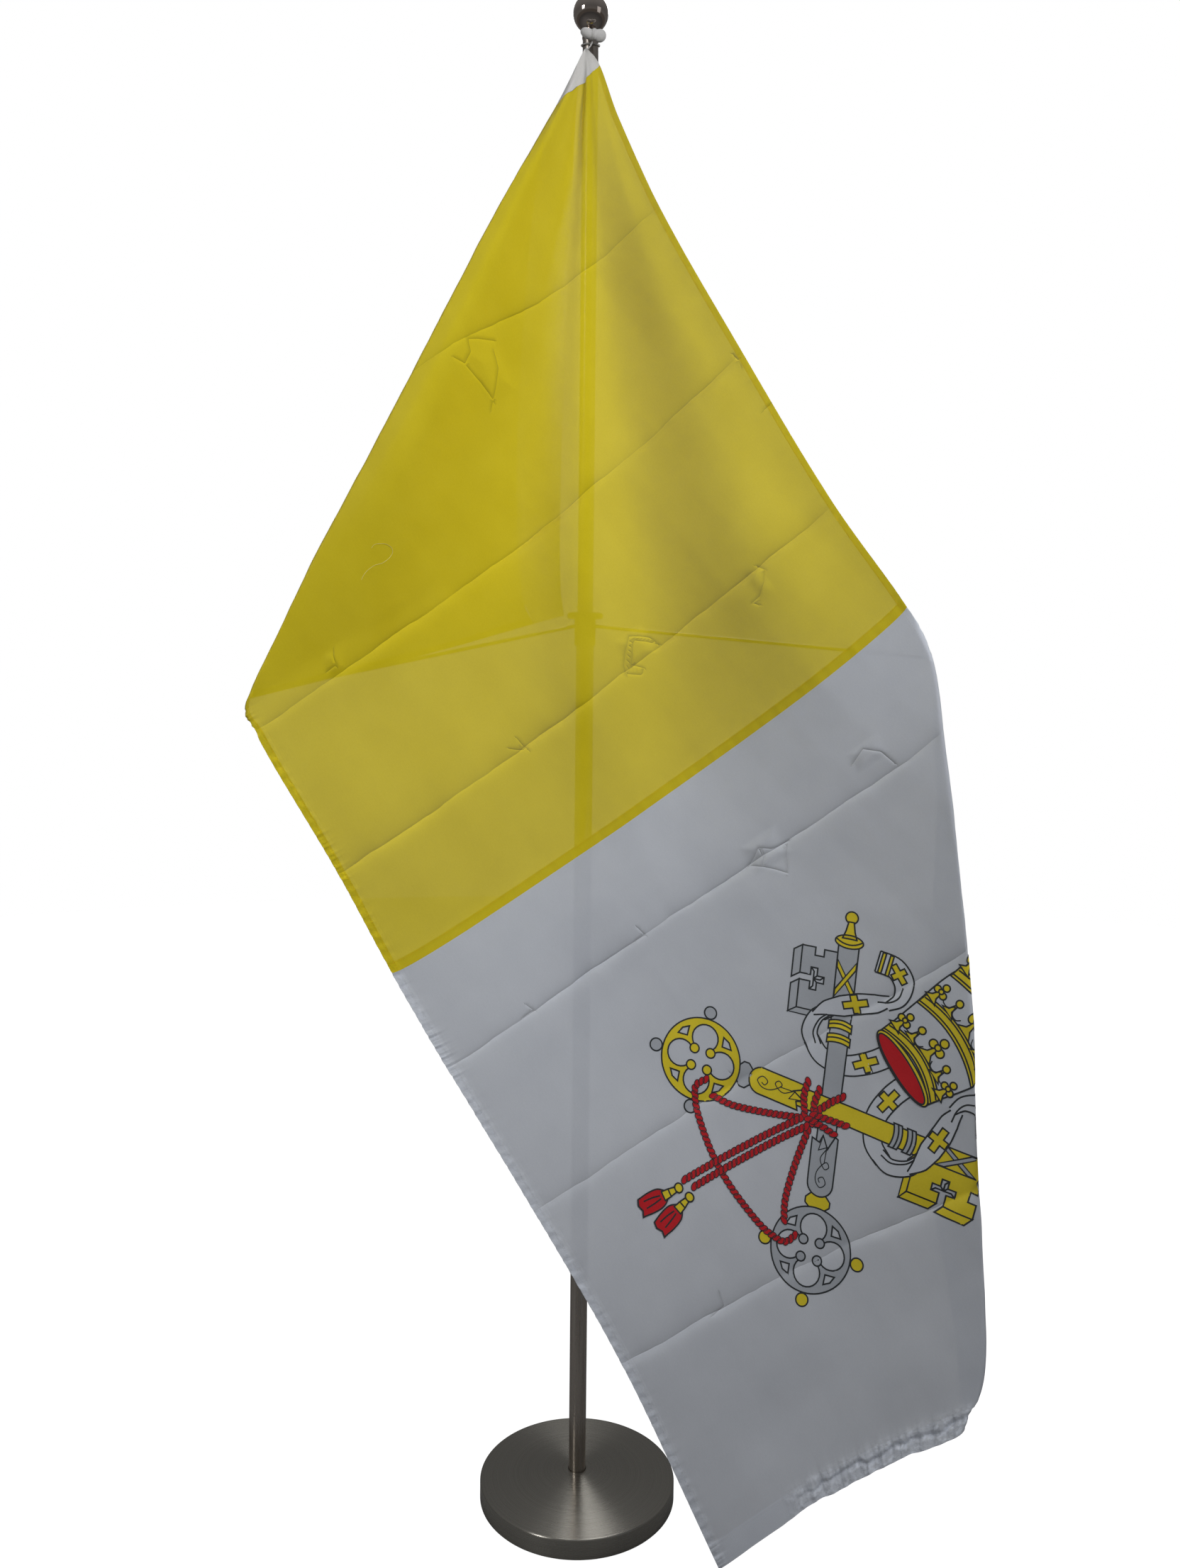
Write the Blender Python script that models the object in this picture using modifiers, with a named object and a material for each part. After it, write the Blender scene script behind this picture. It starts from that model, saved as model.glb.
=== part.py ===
# A national flag hung by its top corner on an indoor floor stand with two spreader arms.
# Metres, +Z up. The origin is the middle of the base's underside, and -Y faces the viewer.
import math

import bmesh
import bpy
import numpy as np

# The cloth as it was cut: u runs along the flag from the hoist, v up from the bottom hem
FLAG_LENGTH = 1.80
FLAG_WIDTH = 0.90
HEADING_WIDTH = 0.055
DIVISION_U = FLAG_LENGTH / 2
LEFT_TIP_U = 0.50      # where the left arm's tip holds the bottom hem
RIGHT_TIP_U = 0.97     # where the right arm's tip holds the top edge
FLY_FOLD_V = 0.40      # height on the fly edge where the right fold ends
CLOTH_THICKNESS = 0.0015
SEAM_GAP = 0.0012
FOLD_RADIUS = 0.010    # of the two turned folds over the arm tips

# The stand
BASE_RADIUS = 0.143
BASE_RIM = 0.029       # height of the upright rim
BASE_APEX = 0.040      # height of the low cone where the pole goes in
SOCKET_DEPTH = 0.032
LOWER_RADIUS = 0.0125
UPPER_RADIUS = 0.0110
TUBE_WALL = 0.0011
UPPER_FOOT_Z = 1.185   # the upper tube slides this far down into the lower one
HUB_Z = 1.252          # underside of the spreader hub
HUB_TOP_Z = 1.298
HUB_RADIUS = 0.0150
FLANGE_RADIUS = 0.0255
FLANGE_THICKNESS = 0.007
POLE_TOP_Z = 2.091
NECK_HEIGHT = 0.011
BALL_RADIUS = 0.0245
ARM_RADIUS = 0.0025
ARM_ROOT_Z = 1.279
ARM_SETBACK = 0.0012   # an arm slopes, so its square end starts this far off the hub
TIP_RADIUS = 0.0035
CORD_RADIUS = 0.0011
CLEARANCE = 0.0003

# The left side of the front layer: the folded edge down to the arm's tip, then the bottom hem
LEFT_EDGE = [
    # u     x       y       z
    (0.000, -0.008, -0.018, 2.070),
    (0.055, -0.041, -0.030, 1.990),
    (0.110, -0.102, -0.055, 1.874),
    (0.270, -0.241, -0.115, 1.578),
    (0.500, -0.430, -0.180, 1.169),
    (0.549, -0.415, -0.185, 1.124),
    (0.750, -0.312, -0.183, 0.947),
    (0.900, -0.243, -0.182, 0.819),
    (1.057, -0.170, -0.190, 0.697),
    (1.278, -0.056, -0.205, 0.516),
    (1.511, 0.059, -0.220, 0.322),
    (1.800, 0.183, -0.240, 0.070),
]
# The right side of the front layer: the top edge down to the arm's tip, then the folded edge
RIGHT_EDGE = [
    # u     x       y       z
    (0.000, -0.007, -0.018, 2.070),
    (0.055, 0.013, -0.024, 2.042),
    (0.110, 0.038, -0.033, 1.970),
    (0.238, 0.094, -0.056, 1.839),
    (0.452, 0.194, -0.092, 1.653),
    (0.710, 0.316, -0.136, 1.437),
    (0.900, 0.411, -0.168, 1.294),
    (0.970, 0.443, -0.180, 1.235),
    (1.052, 0.457, -0.190, 1.142),
    (1.274, 0.486, -0.213, 0.890),
    (1.516, 0.502, -0.240, 0.601),
    (1.667, 0.507, -0.258, 0.424),
    (1.744, 0.502, -0.270, 0.333),
    (1.800, 0.477, -0.278, 0.273),
]
# The hem of the layer folded behind on the left, from the hub tie out to the left arm's tip
BACK_HEM = [
    # u     x       y       z
    (0.000, -0.030, 0.024, 1.297),
    (0.250, -0.228, -0.074, 1.231),
    (0.500, -0.430, -0.180, 1.169),
]
# The top edge of the flap that hangs behind on the right, from the arm's tip to its corner
FLAP_EDGE = [
    # u     x       y       z
    (0.970, 0.443, -0.180, 1.235),
    (1.200, 0.478, -0.105, 1.007),
    (1.500, 0.504, 0.030, 0.755),
    (1.800, 0.515, 0.170, 0.510),
]
# How far back towards the pole the front layer sags between its two sides, and how far it droops
SAG = [
    # u     place   depth  droop
    (0.055, 0.60, 0.003, 0.000),
    (0.250, 0.66, 0.066, 0.000),
    (0.500, 0.66, 0.116, 0.000),
    (0.700, 0.52, 0.140, 0.010),
    (0.900, 0.40, 0.136, 0.029),
    (1.200, 0.44, 0.100, 0.022),
    (1.500, 0.50, 0.066, 0.022),
    (1.800, 0.50, 0.026, 0.004),
]
DROOP_HEADING = (0.5, 0.0, -0.866)   # straight on along the cloth, down and to the fly
# Broad folds that radiate from the hung corner, by their angle below the top edge
RADIAL_FOLDS = [
    # angle  spread  rise per metre  start  fade
    (56.0, 4.5, 0.050, 0.10, 0.85),
    (31.5, 6.0, 0.060, 0.06, 1.10),
    (10.0, 6.0, 0.022, 0.15, 1.00),
]


def read_row(table, u):
    """The values of a table at u, on a smooth curve through its rows."""
    rows = np.array(table)
    u = min(max(u, rows[0, 0]), rows[-1, 0])
    i = int(np.clip(np.searchsorted(rows[:, 0], u) - 1, 0, len(rows) - 2))
    start, end = rows[i], rows[i + 1]
    before = rows[max(i - 1, 0)]
    after = rows[min(i + 2, len(rows) - 1)]
    span = end[0] - start[0]
    t = (u - start[0]) / span
    slope_in = (end - before) / (end[0] - before[0]) * span
    slope_out = (after - start) / (after[0] - start[0]) * span
    h00, h10 = 2 * t**3 - 3 * t**2 + 1, t**3 - 2 * t**2 + t
    h01, h11 = -2 * t**3 + 3 * t**2, t**3 - t**2
    return (h00 * start + h10 * slope_in + h01 * end + h11 * slope_out)[1:]


def ease(low, high, x):
    t = min(max((x - low) / (high - low), 0.0), 1.0)
    return t * t * (3 - 2 * t)


def left_v(u):
    """Height on the cloth of the left side of the front layer."""
    return max(FLAG_WIDTH * (1 - u / LEFT_TIP_U), 0.0)


def right_v(u):
    drop = (FLAG_WIDTH - FLY_FOLD_V) * (u - RIGHT_TIP_U) / (FLAG_LENGTH - RIGHT_TIP_U)
    return FLAG_WIDTH - max(drop, 0.0)


def turned(distance, radius):
    """How much of the fold's radius the layer has reached at a distance from the folded edge."""
    t = min(distance / radius, 1.0)
    return math.sqrt(max(1 - (1 - t) ** 2, 0.0))


def fold_radius(u):
    return 0.003 + (FOLD_RADIUS - 0.003) * ease(0.05, 0.20, u)


def front_point(u, w):
    """A point of the front layer, w of the way from its left side to its right side."""
    left, right = read_row(LEFT_EDGE, u), read_row(RIGHT_EDGE, u)
    point = left + w * (right - left)
    length = right_v(u) - left_v(u)
    place, depth, droop = read_row(SAG, u)
    near = (place - w) / place if w < place else (w - place) / (1 - place)
    blunt = 0.16 + 0.85 * ease(0.7, 1.3, u)
    hat = (math.hypot(1, blunt) - math.hypot(near, blunt)) / (math.hypot(1, blunt) - blunt)
    point[1] += depth * hat
    point += droop * math.sin(math.pi * w) ** 0.6 * np.array(DROOP_HEADING)
    v = left_v(u) + w * length
    reach = math.hypot(u, FLAG_WIDTH - v)
    angle = math.degrees(math.atan2(FLAG_WIDTH - v, u))
    edges = min(turned(w * length, 0.06), turned((1 - w) * length, 0.06))
    for middle, spread, rise, start, fade in RADIAL_FOLDS:
        strength = ease(0.0, start, reach) * (1 - ease(fade - 0.3, fade + 0.2, reach))
        bell = math.exp(-(((angle - middle) / spread) ** 2))
        point[1] -= rise * min(reach, 0.7) * bell * strength * edges
    radius = fold_radius(u)
    folded_left = 1 - ease(LEFT_TIP_U, LEFT_TIP_U + 0.06, u)
    folded_right = ease(RIGHT_TIP_U - 0.06, RIGHT_TIP_U, u)
    left_turn = 1 - folded_left * (1 - turned(w * length, radius))
    right_turn = 1 - folded_right * (1 - turned((1 - w) * length, radius))
    point[1] -= radius * min(left_turn, right_turn)
    return point


def back_left_point(u, b):
    """A point of the layer behind on the left, b of the way from the folded edge to the hem."""
    start, end = read_row(LEFT_EDGE, u), read_row(BACK_HEM, u)
    point = start + b * (end - start)
    slack = max(1 - u / LEFT_TIP_U, 0.0)
    bow = math.sin(math.pi * b)
    near_hoist = math.exp(-((u / HEADING_WIDTH - 1.3) ** 2))
    point[0] -= (0.008 * slack + 0.040 * near_hoist) * bow**0.5
    point[1] += 0.105 * slack**1.3 * bow**1.4
    point[1] += fold_radius(u) * turned(b * left_v(u), fold_radius(u))
    return point


def flap_point(u, b):
    """A point of the flap behind on the right, b of the way from the folded edge to its free edge."""
    start, end = read_row(RIGHT_EDGE, u), read_row(FLAP_EDGE, u)
    point = start + b * (end - start)
    point[0] += 0.020 * math.sin(math.pi * b) * ease(RIGHT_TIP_U, 1.5, u)
    return point


def fold_steps(length, radius, steps):
    """Places across a layer as shares of its length: close on the turn of a fold, then even."""
    turn = [radius * (1 - math.cos(math.radians(a))) for a in (0, 35, 65)]
    rest = np.linspace(radius, max(length, radius * 1.01), steps)
    return [min(d / max(length, 1e-6), 1.0) for d in [*turn, *rest]]


def section(u, front_steps, back_steps, flap_steps):
    """The middle of the cloth along one line across the flag, from bottom hem to top edge."""
    radius = fold_radius(u)
    behind = left_v(u)
    front = right_v(u) - behind
    flap = FLAG_WIDTH - right_v(u)
    back = [back_left_point(u, b) for b in reversed(fold_steps(behind, radius, back_steps)[1:])]
    if behind <= 0:
        back = [read_row(LEFT_EDGE, u)] * len(back)
    half = front_steps // 2
    inner = fold_steps(front / 2, radius, half)
    shares = [s / 2 for s in inner] + [1 - s / 2 for s in reversed(inner[:-1])]
    middle = [front_point(u, w) for w in shares]
    if behind <= 0:
        back = [middle[0]] * len(back)
    over = [flap_point(u, b) for b in np.linspace(0, 1, flap_steps + 1)[1:]]
    if flap <= 0:
        over = [middle[-1]] * len(over)
    return back + middle + over


def collection_of(name):
    group = bpy.data.collections.new(name)
    bpy.context.scene.collection.children.link(group)
    return group


def material_of(name, colour, roughness, metallic=0.0):
    made = bpy.data.materials.new(name)
    made.use_nodes = True
    shader = made.node_tree.nodes["Principled BSDF"]
    shader.inputs["Base Color"].default_value = (*colour, 1)
    shader.inputs["Roughness"].default_value = roughness
    shader.inputs["Metallic"].default_value = metallic
    return made


def new_object(name, mesh, material, group):
    made = bpy.data.objects.new(name, mesh)
    mesh.materials.append(material)
    group.objects.link(made)
    return made


def cloth(name, u_start, u_end, stations, steps, material, group):
    """One cut piece of the flag: a sheet through sections across it, given its thickness."""
    bm = bmesh.new()
    known = {}
    grid = []
    for u in np.linspace(u_start, u_end, stations):
        row = []
        for point in section(u, *steps):
            key = tuple(np.round(point, 5))
            if key not in known:
                known[key] = bm.verts.new(point)
            row.append(known[key])
        grid.append(row)
    for row, following in zip(grid, grid[1:]):
        for a, b, c, d in zip(row, row[1:], following[1:], following):
            corners = list(dict.fromkeys((a, d, c, b)))
            if len(corners) > 2:
                bm.faces.new(corners)
    bmesh.ops.recalc_face_normals(bm, faces=bm.faces)
    mesh = bpy.data.meshes.new(name)
    bm.to_mesh(mesh)
    bm.free()
    mesh.shade_smooth()
    sheet = new_object(name, mesh, material, group)
    solid = sheet.modifiers.new("Thickness", "SOLIDIFY")
    solid.thickness = CLOTH_THICKNESS
    solid.offset = 0
    return sheet


def turned_solid(name, profile, material, group, steps=40):
    """A turned piece: its outline from the top of the axis or bore down the outer side."""
    bm = bmesh.new()
    points = [bm.verts.new((r, 0, z)) for r, z in profile]
    for a, b in zip(points, points[1:]):
        bm.edges.new((a, b))
    if profile[0][0] > 0:
        bm.edges.new((points[-1], points[0]))
    mesh = bpy.data.meshes.new(name)
    bm.to_mesh(mesh)
    bm.free()
    piece = new_object(name, mesh, material, group)
    screw = piece.modifiers.new("Turn", "SCREW")
    screw.steps = steps
    screw.render_steps = steps
    screw.use_merge_vertices = True
    screw.merge_threshold = 0.00005
    screw.use_smooth_shade = True
    return piece


def base(material, group):
    hole = LOWER_RADIUS + CLEARANCE
    floor_z = BASE_APEX - SOCKET_DEPTH
    profile = [(0, floor_z), (hole, floor_z), (hole, BASE_APEX), (hole + 0.004, BASE_APEX)]
    profile += [(BASE_RADIUS - 0.004, BASE_RIM + 0.0012), (BASE_RADIUS - 0.0012, BASE_RIM)]
    profile += [(BASE_RADIUS, BASE_RIM - 0.002), (BASE_RADIUS, 0.0015), (BASE_RADIUS - 0.0015, 0)]
    profile += [(0, 0)]
    return turned_solid("base", profile, material, group, steps=64)


def tube(name, radius, inner, z_low, z_high, material, group):
    bevel = 0.0004
    profile = [(inner, z_high), (radius - bevel, z_high), (radius, z_high - bevel)]
    profile += [(radius, z_low), (inner, z_low)]
    return turned_solid(name, profile, material, group, steps=24)


def hub(material, group):
    bore = UPPER_RADIUS + CLEARANCE
    under = HUB_TOP_Z - FLANGE_THICKNESS
    profile = [(bore, HUB_TOP_Z), (FLANGE_RADIUS - 0.001, HUB_TOP_Z), (FLANGE_RADIUS, HUB_TOP_Z - 0.001)]
    profile += [(FLANGE_RADIUS, under), (HUB_RADIUS, under), (HUB_RADIUS, HUB_Z), (bore, HUB_Z)]
    return turned_solid("spreader_hub", profile, material, group, steps=32)


def arc(radius, centre_z, start, end, steps):
    """Outline points of a ball from one angle above the level to another, in degrees."""
    angles = [math.radians(start + (end - start) * i / steps) for i in range(steps + 1)]
    return [(radius * math.cos(a), centre_z + radius * math.sin(a)) for a in angles]


def finial(steel, chrome, group):
    neck_z = POLE_TOP_Z + CLEARANCE
    neck_top = neck_z + NECK_HEIGHT
    neck = [(0, neck_top), (0.0075, neck_top), (0.0085, neck_top - 0.002), (0.0085, neck_z + 0.004)]
    neck += [(0.0118, neck_z + 0.003), (0.0118, neck_z), (0, neck_z)]
    turned_solid("finial_neck", neck, steel, group, steps=24)
    ball_foot = neck_top + CLEARANCE
    flat = 0.0065
    low = -math.degrees(math.acos(flat / BALL_RADIUS))
    centre = ball_foot - BALL_RADIUS * math.sin(math.radians(low))
    ball = [(0, centre + BALL_RADIUS), *arc(BALL_RADIUS, centre, 84, low, 18), (0, ball_foot)]
    turned_solid("finial_ball", ball, chrome, group, steps=36)


def wire(name, points, radius, material, group, sides=2, closed=False):
    """A rod or cord along a smooth run of points."""
    curve = bpy.data.curves.new(name, "CURVE")
    curve.dimensions = "3D"
    curve.bevel_depth = radius
    curve.bevel_resolution = sides
    curve.use_fill_caps = True
    spline = curve.splines.new("POLY")
    spline.points.add(len(points) - 1)
    spline.use_cyclic_u = closed
    for spot, place in zip(spline.points, points):
        spot.co = (*place, 1)
    piece = bpy.data.objects.new(name, curve)
    curve.materials.append(material)
    group.objects.link(piece)
    return piece


def arm(name, side, tip, steel, dark, group):
    """A spreader arm from the hub out and forward to the fold that it holds, with its end bead."""
    tip = np.array(tip)
    heading = tip * (1, 1, 0) / math.hypot(tip[0], tip[1])
    root = heading * (HUB_RADIUS + ARM_SETBACK)
    root[2] = ARM_ROOT_Z
    run = tip - root
    run /= np.linalg.norm(run)
    end = tip - run * (TIP_RADIUS + CLEARANCE)
    wire(name + "_arm", [root, end], ARM_RADIUS, steel, group)
    bm = bmesh.new()
    bmesh.ops.create_uvsphere(bm, u_segments=12, v_segments=8, radius=TIP_RADIUS)
    bmesh.ops.translate(bm, verts=bm.verts, vec=tip)
    mesh = bpy.data.meshes.new(name + "_arm_tip")
    bm.to_mesh(mesh)
    bm.free()
    mesh.shade_smooth()
    new_object(name + "_arm_tip", mesh, dark, group)


def ring_points(radius, z, tilt, count=20):
    """Points of a loop round the pole, tilted down towards the viewer."""
    turns = [2 * math.pi * i / count for i in range(count)]
    return [(radius * math.cos(t), radius * math.sin(t), z + tilt * math.sin(t)) for t in turns]


def ties(cord, group):
    """The cord loops that hold the heading's two corners to the pole, and the upper one's knot."""
    upper_loop = UPPER_RADIUS + CORD_RADIUS + CLEARANCE
    wire("upper_tie", ring_points(upper_loop, 2.083, 0.004), CORD_RADIUS, cord, group, closed=True)
    wire("lower_tie", ring_points(upper_loop, 1.307, 0.001), CORD_RADIUS, cord, group, closed=True)
    bm = bmesh.new()
    bmesh.ops.create_uvsphere(bm, u_segments=14, v_segments=10, radius=1.0)
    for vertex in bm.verts:
        x, y, z = vertex.co
        waist = 0.62 + 0.38 * min(abs(x) * 1.7, 1.0)
        vertex.co = (0.0155 * x + 0.007, 0.0062 * y * waist - 0.0225, 0.0090 * z * waist + 2.0850)
    mesh = bpy.data.meshes.new("tie_knot")
    bm.to_mesh(mesh)
    bm.free()
    mesh.shade_smooth()
    new_object("tie_knot", mesh, cord, group)


def build():
    for old in list(bpy.data.objects):
        bpy.data.objects.remove(old, do_unlink=True)
    group = collection_of("national_flag")
    steel = material_of("brushed steel", (0.33, 0.31, 0.29), 0.32, 1.0)
    chrome = material_of("dark chrome", (0.42, 0.38, 0.35), 0.12, 1.0)
    dark = material_of("dark fitting", (0.05, 0.05, 0.05), 0.5)
    yellow = material_of("yellow cloth", (0.78, 0.66, 0.04), 0.8)
    white = material_of("white cloth", (0.62, 0.63, 0.66), 0.8)
    canvas = material_of("white canvas", (0.72, 0.72, 0.74), 0.9)
    cord = material_of("white cord", (0.70, 0.70, 0.72), 0.9)

    base(steel, group)
    lower_foot = BASE_APEX - SOCKET_DEPTH + CLEARANCE
    lower_bore = UPPER_RADIUS + CLEARANCE
    tube("lower_pole", LOWER_RADIUS, lower_bore, lower_foot, HUB_Z - CLEARANCE, steel, group)
    tube("upper_pole", UPPER_RADIUS, UPPER_RADIUS - TUBE_WALL, UPPER_FOOT_Z, POLE_TOP_Z, steel, group)
    hub(dark, group)
    finial(steel, chrome, group)
    arm("left", -1, (-0.419, -0.1790, 1.177), steel, dark, group)
    arm("right", 1, (0.431, -0.1785, 1.230), steel, dark, group)

    half_seam = SEAM_GAP / 2
    cloth("heading", 0.002, HEADING_WIDTH - half_seam, 4, (22, 14, 1), canvas, group)
    cloth("yellow_panel", HEADING_WIDTH + half_seam, DIVISION_U - half_seam, 24, (22, 14, 1), yellow, group)
    cloth("white_panel", DIVISION_U + half_seam, FLAG_LENGTH, 24, (22, 1, 8), white, group)
    ties(cord, group)


build()
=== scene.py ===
# Looks of the national flag on its floor stand: sheer cloth in its folds, printed emblem, brushed steel.
import math
import bmesh
import bpy
import numpy as np
from mathutils import Matrix, Vector
from mathutils.geometry import tessellate_polygon


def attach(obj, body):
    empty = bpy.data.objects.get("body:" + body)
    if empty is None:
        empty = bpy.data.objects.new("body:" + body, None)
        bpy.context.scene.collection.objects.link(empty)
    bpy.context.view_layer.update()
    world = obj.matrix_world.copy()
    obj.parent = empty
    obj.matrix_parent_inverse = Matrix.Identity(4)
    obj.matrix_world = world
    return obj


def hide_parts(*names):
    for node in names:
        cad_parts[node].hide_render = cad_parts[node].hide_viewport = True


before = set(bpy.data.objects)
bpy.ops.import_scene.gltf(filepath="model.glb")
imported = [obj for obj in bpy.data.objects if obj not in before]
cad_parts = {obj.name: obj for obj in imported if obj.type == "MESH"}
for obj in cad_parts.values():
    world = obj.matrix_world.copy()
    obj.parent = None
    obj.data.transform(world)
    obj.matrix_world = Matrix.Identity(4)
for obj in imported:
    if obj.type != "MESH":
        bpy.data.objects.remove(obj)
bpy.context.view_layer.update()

# The cloth's own sizes in metres: u runs from the hoist to the fly, v up from the bottom hem
flag = {
    "length": 1.80, "width": 0.90, "heading": 0.055, "division": 0.90,
    "leftTipU": 0.50, "rightTipU": 0.97, "flyFoldV": 0.40, "foldRadius": 0.010,
    "hem": 0.010, "topHem": 0.009, "flyHem": 0.034, "seam": 0.0145, "layerGap": 0.0006,
    "stationStep": 0.0034, "fineStep": 0.0015,
}

# The hung shape, the same guide rows as the solids: the two sides of the front layer first
leftEdge = [
    # u     x       y       z
    (0.000, -0.008, -0.018, 2.070),
    (0.055, -0.041, -0.030, 1.990),
    (0.110, -0.102, -0.055, 1.874),
    (0.270, -0.241, -0.115, 1.578),
    (0.500, -0.430, -0.180, 1.169),
    (0.549, -0.415, -0.185, 1.124),
    (0.750, -0.312, -0.183, 0.947),
    (0.900, -0.243, -0.182, 0.819),
    (1.057, -0.170, -0.190, 0.697),
    (1.278, -0.056, -0.205, 0.516),
    (1.511, 0.059, -0.220, 0.322),
    (1.800, 0.183, -0.240, 0.070),
]
rightEdge = [
    # u     x       y       z
    (0.000, -0.007, -0.018, 2.070),
    (0.055, 0.013, -0.024, 2.042),
    (0.110, 0.038, -0.033, 1.970),
    (0.238, 0.094, -0.056, 1.839),
    (0.452, 0.194, -0.092, 1.653),
    (0.710, 0.316, -0.136, 1.437),
    (0.900, 0.411, -0.168, 1.294),
    (0.970, 0.443, -0.180, 1.235),
    (1.052, 0.457, -0.190, 1.142),
    (1.274, 0.486, -0.213, 0.890),
    (1.516, 0.502, -0.240, 0.601),
    (1.667, 0.507, -0.258, 0.424),
    (1.744, 0.502, -0.270, 0.333),
    (1.800, 0.477, -0.278, 0.273),
]
backHem = [
    # u     x       y       z
    (0.000, -0.030, 0.024, 1.297),
    (0.250, -0.228, -0.074, 1.231),
    (0.500, -0.430, -0.180, 1.169),
]
flapEdge = [
    # u     x       y       z
    (0.970, 0.443, -0.180, 1.235),
    (1.200, 0.478, -0.105, 1.007),
    (1.500, 0.504, 0.030, 0.755),
    (1.800, 0.515, 0.170, 0.510),
]
sag = [
    # u     place   depth  droop
    (0.055, 0.60, 0.003, 0.000),
    (0.250, 0.66, 0.066, 0.000),
    (0.500, 0.66, 0.116, 0.000),
    (0.700, 0.52, 0.140, 0.010),
    (0.900, 0.40, 0.136, 0.029),
    (1.200, 0.44, 0.100, 0.022),
    (1.500, 0.50, 0.066, 0.022),
    (1.800, 0.50, 0.026, 0.004),
]
droopHeading = np.array((0.5, 0.0, -0.866))
radialFolds = [
    # angle  spread  rise per metre  start  fade
    (56.0, 4.5, 0.050, 0.10, 0.85),
    (31.5, 6.0, 0.060, 0.06, 1.10),
    (10.0, 6.0, 0.022, 0.15, 1.00),
]


def readRow(table, u):
    rows = np.array(table)
    u = min(max(u, rows[0, 0]), rows[-1, 0])
    i = int(np.clip(np.searchsorted(rows[:, 0], u) - 1, 0, len(rows) - 2))
    start, end = rows[i], rows[i + 1]
    before, after = rows[max(i - 1, 0)], rows[min(i + 2, len(rows) - 1)]
    span = end[0] - start[0]
    t = (u - start[0]) / span
    slopeIn = (end - before) / (end[0] - before[0]) * span
    slopeOut = (after - start) / (after[0] - start[0]) * span
    h00, h10 = 2 * t**3 - 3 * t**2 + 1, t**3 - 2 * t**2 + t
    h01, h11 = -2 * t**3 + 3 * t**2, t**3 - t**2
    return (h00 * start + h10 * slopeIn + h01 * end + h11 * slopeOut)[1:]


def ease(low, high, x):
    t = np.clip((x - low) / (high - low), 0.0, 1.0)
    return t * t * (3 - 2 * t)


def leftV(u):
    return max(flag["width"] * (1 - u / flag["leftTipU"]), 0.0)


def rightV(u):
    drop = (flag["width"] - flag["flyFoldV"]) * (u - flag["rightTipU"])
    return flag["width"] - max(drop / (flag["length"] - flag["rightTipU"]), 0.0)


def turned(distance, radius):
    t = np.clip(distance / radius, 0.0, 1.0)
    return np.sqrt(np.maximum(1 - (1 - t) ** 2, 0.0))


def foldRadius(u):
    return 0.003 + (flag["foldRadius"] - 0.003) * ease(0.05, 0.20, u)


def frontLayer(u, w):
    # one line across the front layer, w from its left side to its right side
    left, right = readRow(leftEdge, u), readRow(rightEdge, u)
    points = left + w[:, None] * (right - left)
    length = rightV(u) - leftV(u)
    place, depth, droop = readRow(sag, u)
    near = np.where(w < place, (place - w) / place, (w - place) / (1 - place))
    blunt = 0.16 + 0.85 * ease(0.7, 1.3, u)
    hat = (math.hypot(1, blunt) - np.hypot(near, blunt)) / (math.hypot(1, blunt) - blunt)
    points[:, 1] += depth * hat
    points += (droop * np.sin(math.pi * w).clip(0) ** 0.6)[:, None] * droopHeading
    v = leftV(u) + w * length
    reach = np.hypot(u, flag["width"] - v)
    angle = np.degrees(np.arctan2(flag["width"] - v, u))
    edges = np.minimum(turned(w * length, 0.06), turned((1 - w) * length, 0.06))
    for middle, spread, rise, start, fade in radialFolds:
        strength = ease(0.0, start, reach) * (1 - ease(fade - 0.3, fade + 0.2, reach))
        bell = np.exp(-(((angle - middle) / spread) ** 2))
        points[:, 1] -= rise * np.minimum(reach, 0.7) * bell * strength * edges
    radius = foldRadius(u)
    foldedLeft = 1 - ease(flag["leftTipU"], flag["leftTipU"] + 0.06, u)
    foldedRight = ease(flag["rightTipU"] - 0.06, flag["rightTipU"], u)
    leftTurn = 1 - foldedLeft * (1 - turned(w * length, radius))
    rightTurn = 1 - foldedRight * (1 - turned((1 - w) * length, radius))
    points[:, 1] -= radius * np.minimum(leftTurn, rightTurn)
    return points


def backLayer(u, b):
    # behind on the left, b from the folded edge to the hem
    start, end = readRow(leftEdge, u), readRow(backHem, u)
    points = start + b[:, None] * (end - start)
    slack = max(1 - u / flag["leftTipU"], 0.0)
    bow = np.sin(math.pi * b).clip(0)
    nearHoist = math.exp(-((u / flag["heading"] - 1.3) ** 2))
    points[:, 0] -= (0.008 * slack + 0.040 * nearHoist) * bow**0.5
    points[:, 1] += 0.105 * slack**1.3 * bow**1.4
    points[:, 1] += foldRadius(u) * turned(b * leftV(u), foldRadius(u))
    return points


def flapLayer(u, b):
    # behind on the right, b from the folded edge to the free top edge
    start, end = readRow(rightEdge, u), readRow(flapEdge, u)
    points = start + b[:, None] * (end - start)
    points[:, 0] += 0.020 * np.sin(math.pi * b) * ease(flag["rightTipU"], 1.5, u)
    return points


def acrossAt(u, v):
    # points of the cloth's middle at the heights v on one line across the flag
    low, high = leftV(u), rightV(u)
    points = np.zeros((len(v), 3))
    behind, over = v < low - 1e-9, v > high + 1e-9
    front = ~behind & ~over
    if behind.any():
        points[behind] = backLayer(u, (low - v[behind]) / low)
    if over.any():
        points[over] = flapLayer(u, (v[over] - high) / (flag["width"] - high))
    points[front] = frontLayer(u, (v[front] - low) / max(high - low, 1e-6))
    return points


print("guides ready")

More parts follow.
